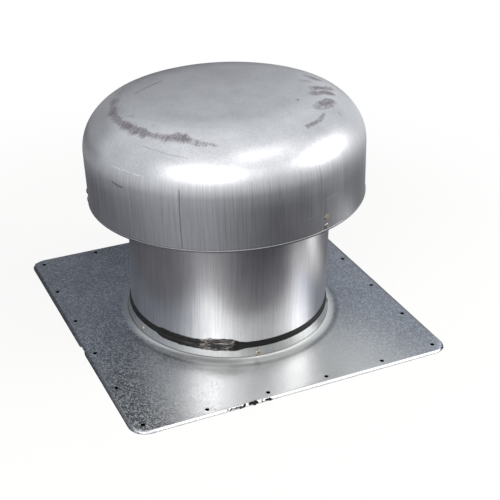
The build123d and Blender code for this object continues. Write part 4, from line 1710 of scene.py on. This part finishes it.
@dataclass
class Studio:
    """Camera, softboxes, cards and white floor.

    Attributes:
        camera_m: The camera's place.
        azimuth: Direction of the camera, degrees from the front.
        elevation: Degrees above the floor.
        roll: Degrees.
        field_pixels: Focal length in pixels of the square picture.
        picture_pixels: Width of the picture.
        sensor: Camera sensor width.
        lamps: The softboxes.
        cards: Cards that the metal mirrors.
        mats: Mats that the metal mirrors.
        layer_m: Height of each mat over the one below it.
        under_m: Width of the black card under the deck, painted shade that shows through the screw holes.
        floor_m: Width of the floor.
        white_from_m: Where the floor begins and ends to turn to plain white, from its middle.
        ambient: Brightness of the room.
    """

    camera_m: tuple[float, float, float] = (-0.61875, -1.32855, 0.93306)
    azimuth: float = -26.27
    elevation: float = 29.63
    roll: float = 1.24
    field_pixels: float = 1088.0
    picture_pixels: float = 500.0
    sensor: float = 36.0
    lamps: tuple[Lamp, ...] = (
        Lamp(Side.KEY, -43, 34, 2.2, 1.0, 0.5, 9.4),
        Lamp(Side.KEY_SCRIM, -40, 35, 2.3, 2.8, 1.3, 1.4),
        Lamp(Side.FRONT_SCRIM, 16, 33, 2.3, 1.7, 0.9, 0.5),
        Lamp(Side.TOP, 20, 67, 2.2, 1.1, 0.7, 1.8),
        Lamp(Side.RIGHT, 65, 26, 2.2, 0.95, 0.4, 14.5),
        Lamp(Side.RIGHT_SCRIM, 58, 33, 2.3, 1.8, 1.1, 1.1),
        Lamp(Side.OVER, 0, 89.9, 2.3, 3.4, 2.8, 0.36),
    )
    cards: tuple[Card, ...] = (
        Card("back_card", (-0.05, 0.9, 0.78), 180.0, 2.1, 1.44, 0.11, 1.2, 0.26, "E4E8FF"),
        Card("bounce_card", (0.33, -0.17, 0.055), -85.0, 0.06, 0.14, 2.2, 2.4, 1.0),
        Card("low_card", (-0.42, 0.88, 0.34), 180.0, 0.9, 0.36, 0.36, 0.44, 1.0),
        Card("front_flag", (0.3, -1.22, 0.24), 14.0, 1.2, 0.48, 0.03, 0.38, 1.0),
        Card("right_flag", (1.2, -0.42, 0.22), 71.0, 1.2, 0.44, 0.02, 0.3, 1.0),
    )
    mats: tuple[Mat, ...] = (
        Mat("grey_mat", ((-0.3, 0.4), (0.1, -0.5)), 1.2, 0.58, (0.03, 0.028, 0.048), 1.7),
        Mat(
            "black_mat", ((-0.1, -0.68), (0.32, -0.66), (0.72, -0.32), (0.84, 0.02)), 0.29, 0.8,
            (0.007, 0.005, 0.014), 1.3,
        ),
        Mat("pale_mat", ((0.27, -0.28), (0.31, -0.1)), 0.09, 0.3, (0.7, 0.7, 0.71), 1.3),
    )
    layer_m: float = 0.0002
    under_m: float = 0.49
    floor_m: float = 24.0
    white_from_m: Point = (0.45, 0.95)
    ambient: float = 0.3

    def build_camera(self) -> None:
        """Sets the camera at the photograph's place and view."""
        back = direction(self.azimuth, self.elevation)
        right = Vector((math.cos(math.radians(self.azimuth)), math.sin(math.radians(self.azimuth)), 0))
        level = Matrix((right, back.cross(right), back)).transposed().to_4x4()
        data = bpy.data.cameras.new("camera")
        data.sensor_width = self.sensor
        data.lens = self.sensor * self.field_pixels / self.picture_pixels
        data.clip_end = 50
        camera = bpy.data.objects.new("camera", data)
        roll = Matrix.Rotation(math.radians(self.roll), 4, "Z")
        camera.matrix_world = Matrix.Translation(self.camera_m) @ level @ roll
        bpy.context.scene.collection.objects.link(camera)
        bpy.context.scene.camera = camera

    def build_floor(self) -> None:
        """Lays a white floor that keeps the vent's soft shadow, the mats and a black card under the deck,
        painted shade that shows through the screw holes.
        """
        shader = Shader.named("floor_white")
        reach = shader.vector("LENGTH", shader.value("TexCoord", output="Object"))
        share = shader.seen_rays() * shader.ramp(reach, *self.white_from_m, 0.84, 1.0)
        plain = shader.value("BsdfDiffuse", Color=(0.9, 0.9, 0.9, 1))
        glow = shader.value("Emission", Color=(1, 1, 1, 1), Strength=1.0)
        white = shader.finish_floor(shader.value("MixShader", i0=share, i1=plain, i2=glow))
        add_plane("floor", (self.floor_m, self.floor_m), Matrix.Identity(4), white, mirrored_only=False)
        for place, mat in enumerate(self.mats, 1):
            mat.build(self.layer_m * place)
        # Painted shade: a black card under the deck, so that the screw holes show dark.
        shader = Shader.named("matt_black")
        black = shader.finish_floor(shader.value("BsdfDiffuse", Color=(0.002, 0.002, 0.003, 1)))
        over_mats = Matrix.Translation((0, 0, self.layer_m * (len(self.mats) + 1)))
        add_plane("under_card", (self.under_m, self.under_m), over_mats, black, mirrored_only=False)

    def build_world(self) -> None:
        """Gives the room an even pale light, white where it is seen."""
        world = bpy.data.worlds.new("room")
        bpy.context.scene.world = world
        shader = Shader(world)
        light = shader.value("Background", Color=(1, 1, 1, 1), Strength=self.ambient)
        seen = shader.value("Background", Color=(1, 1, 1, 1), Strength=1.0)
        mixed = shader.value("MixShader", i0=shader.seen_rays(), i1=light, i2=seen)
        shader.add("OutputWorld", Surface=mixed)

    def build(self) -> None:
        """Sets up the whole studio."""
        self.build_camera()
        self.build_floor()
        self.build_world()
        for thing in (*self.lamps, *self.cards):
            thing.build()
        bpy.context.scene.view_settings.view_transform = "Standard"


def dress_kept_nodes(finishes: Finishes) -> None:
    """Gives the CAD nodes that stay visible their material."""
    for name in ("cap_bracket_1", "cap_bracket_2", "cap_bracket_3", "screen_ring"):
        node = bpy.data.objects[name]
        node.data.materials.clear()
        node.data.materials.append(finishes.plain)


def main() -> None:
    """Loads the frame, builds the studio and every sub-assembly, and logs each piece's faces."""
    logging.basicConfig(level=logging.INFO, format="%(name)s: %(message)s")
    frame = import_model()
    finishes = Finishes.build()
    Studio().build()
    rivets = Rivets(tuple(name for name in frame["nodes"] if "rivet" in name))
    for part in (Flashing(), Throat(), Collar(), Crumbs(), Cap(), rivets, BirdScreen()):
        part.build(finishes)
    dress_kept_nodes(finishes)
    bpy.context.view_layer.update()


if __name__ == "__main__":
    main()
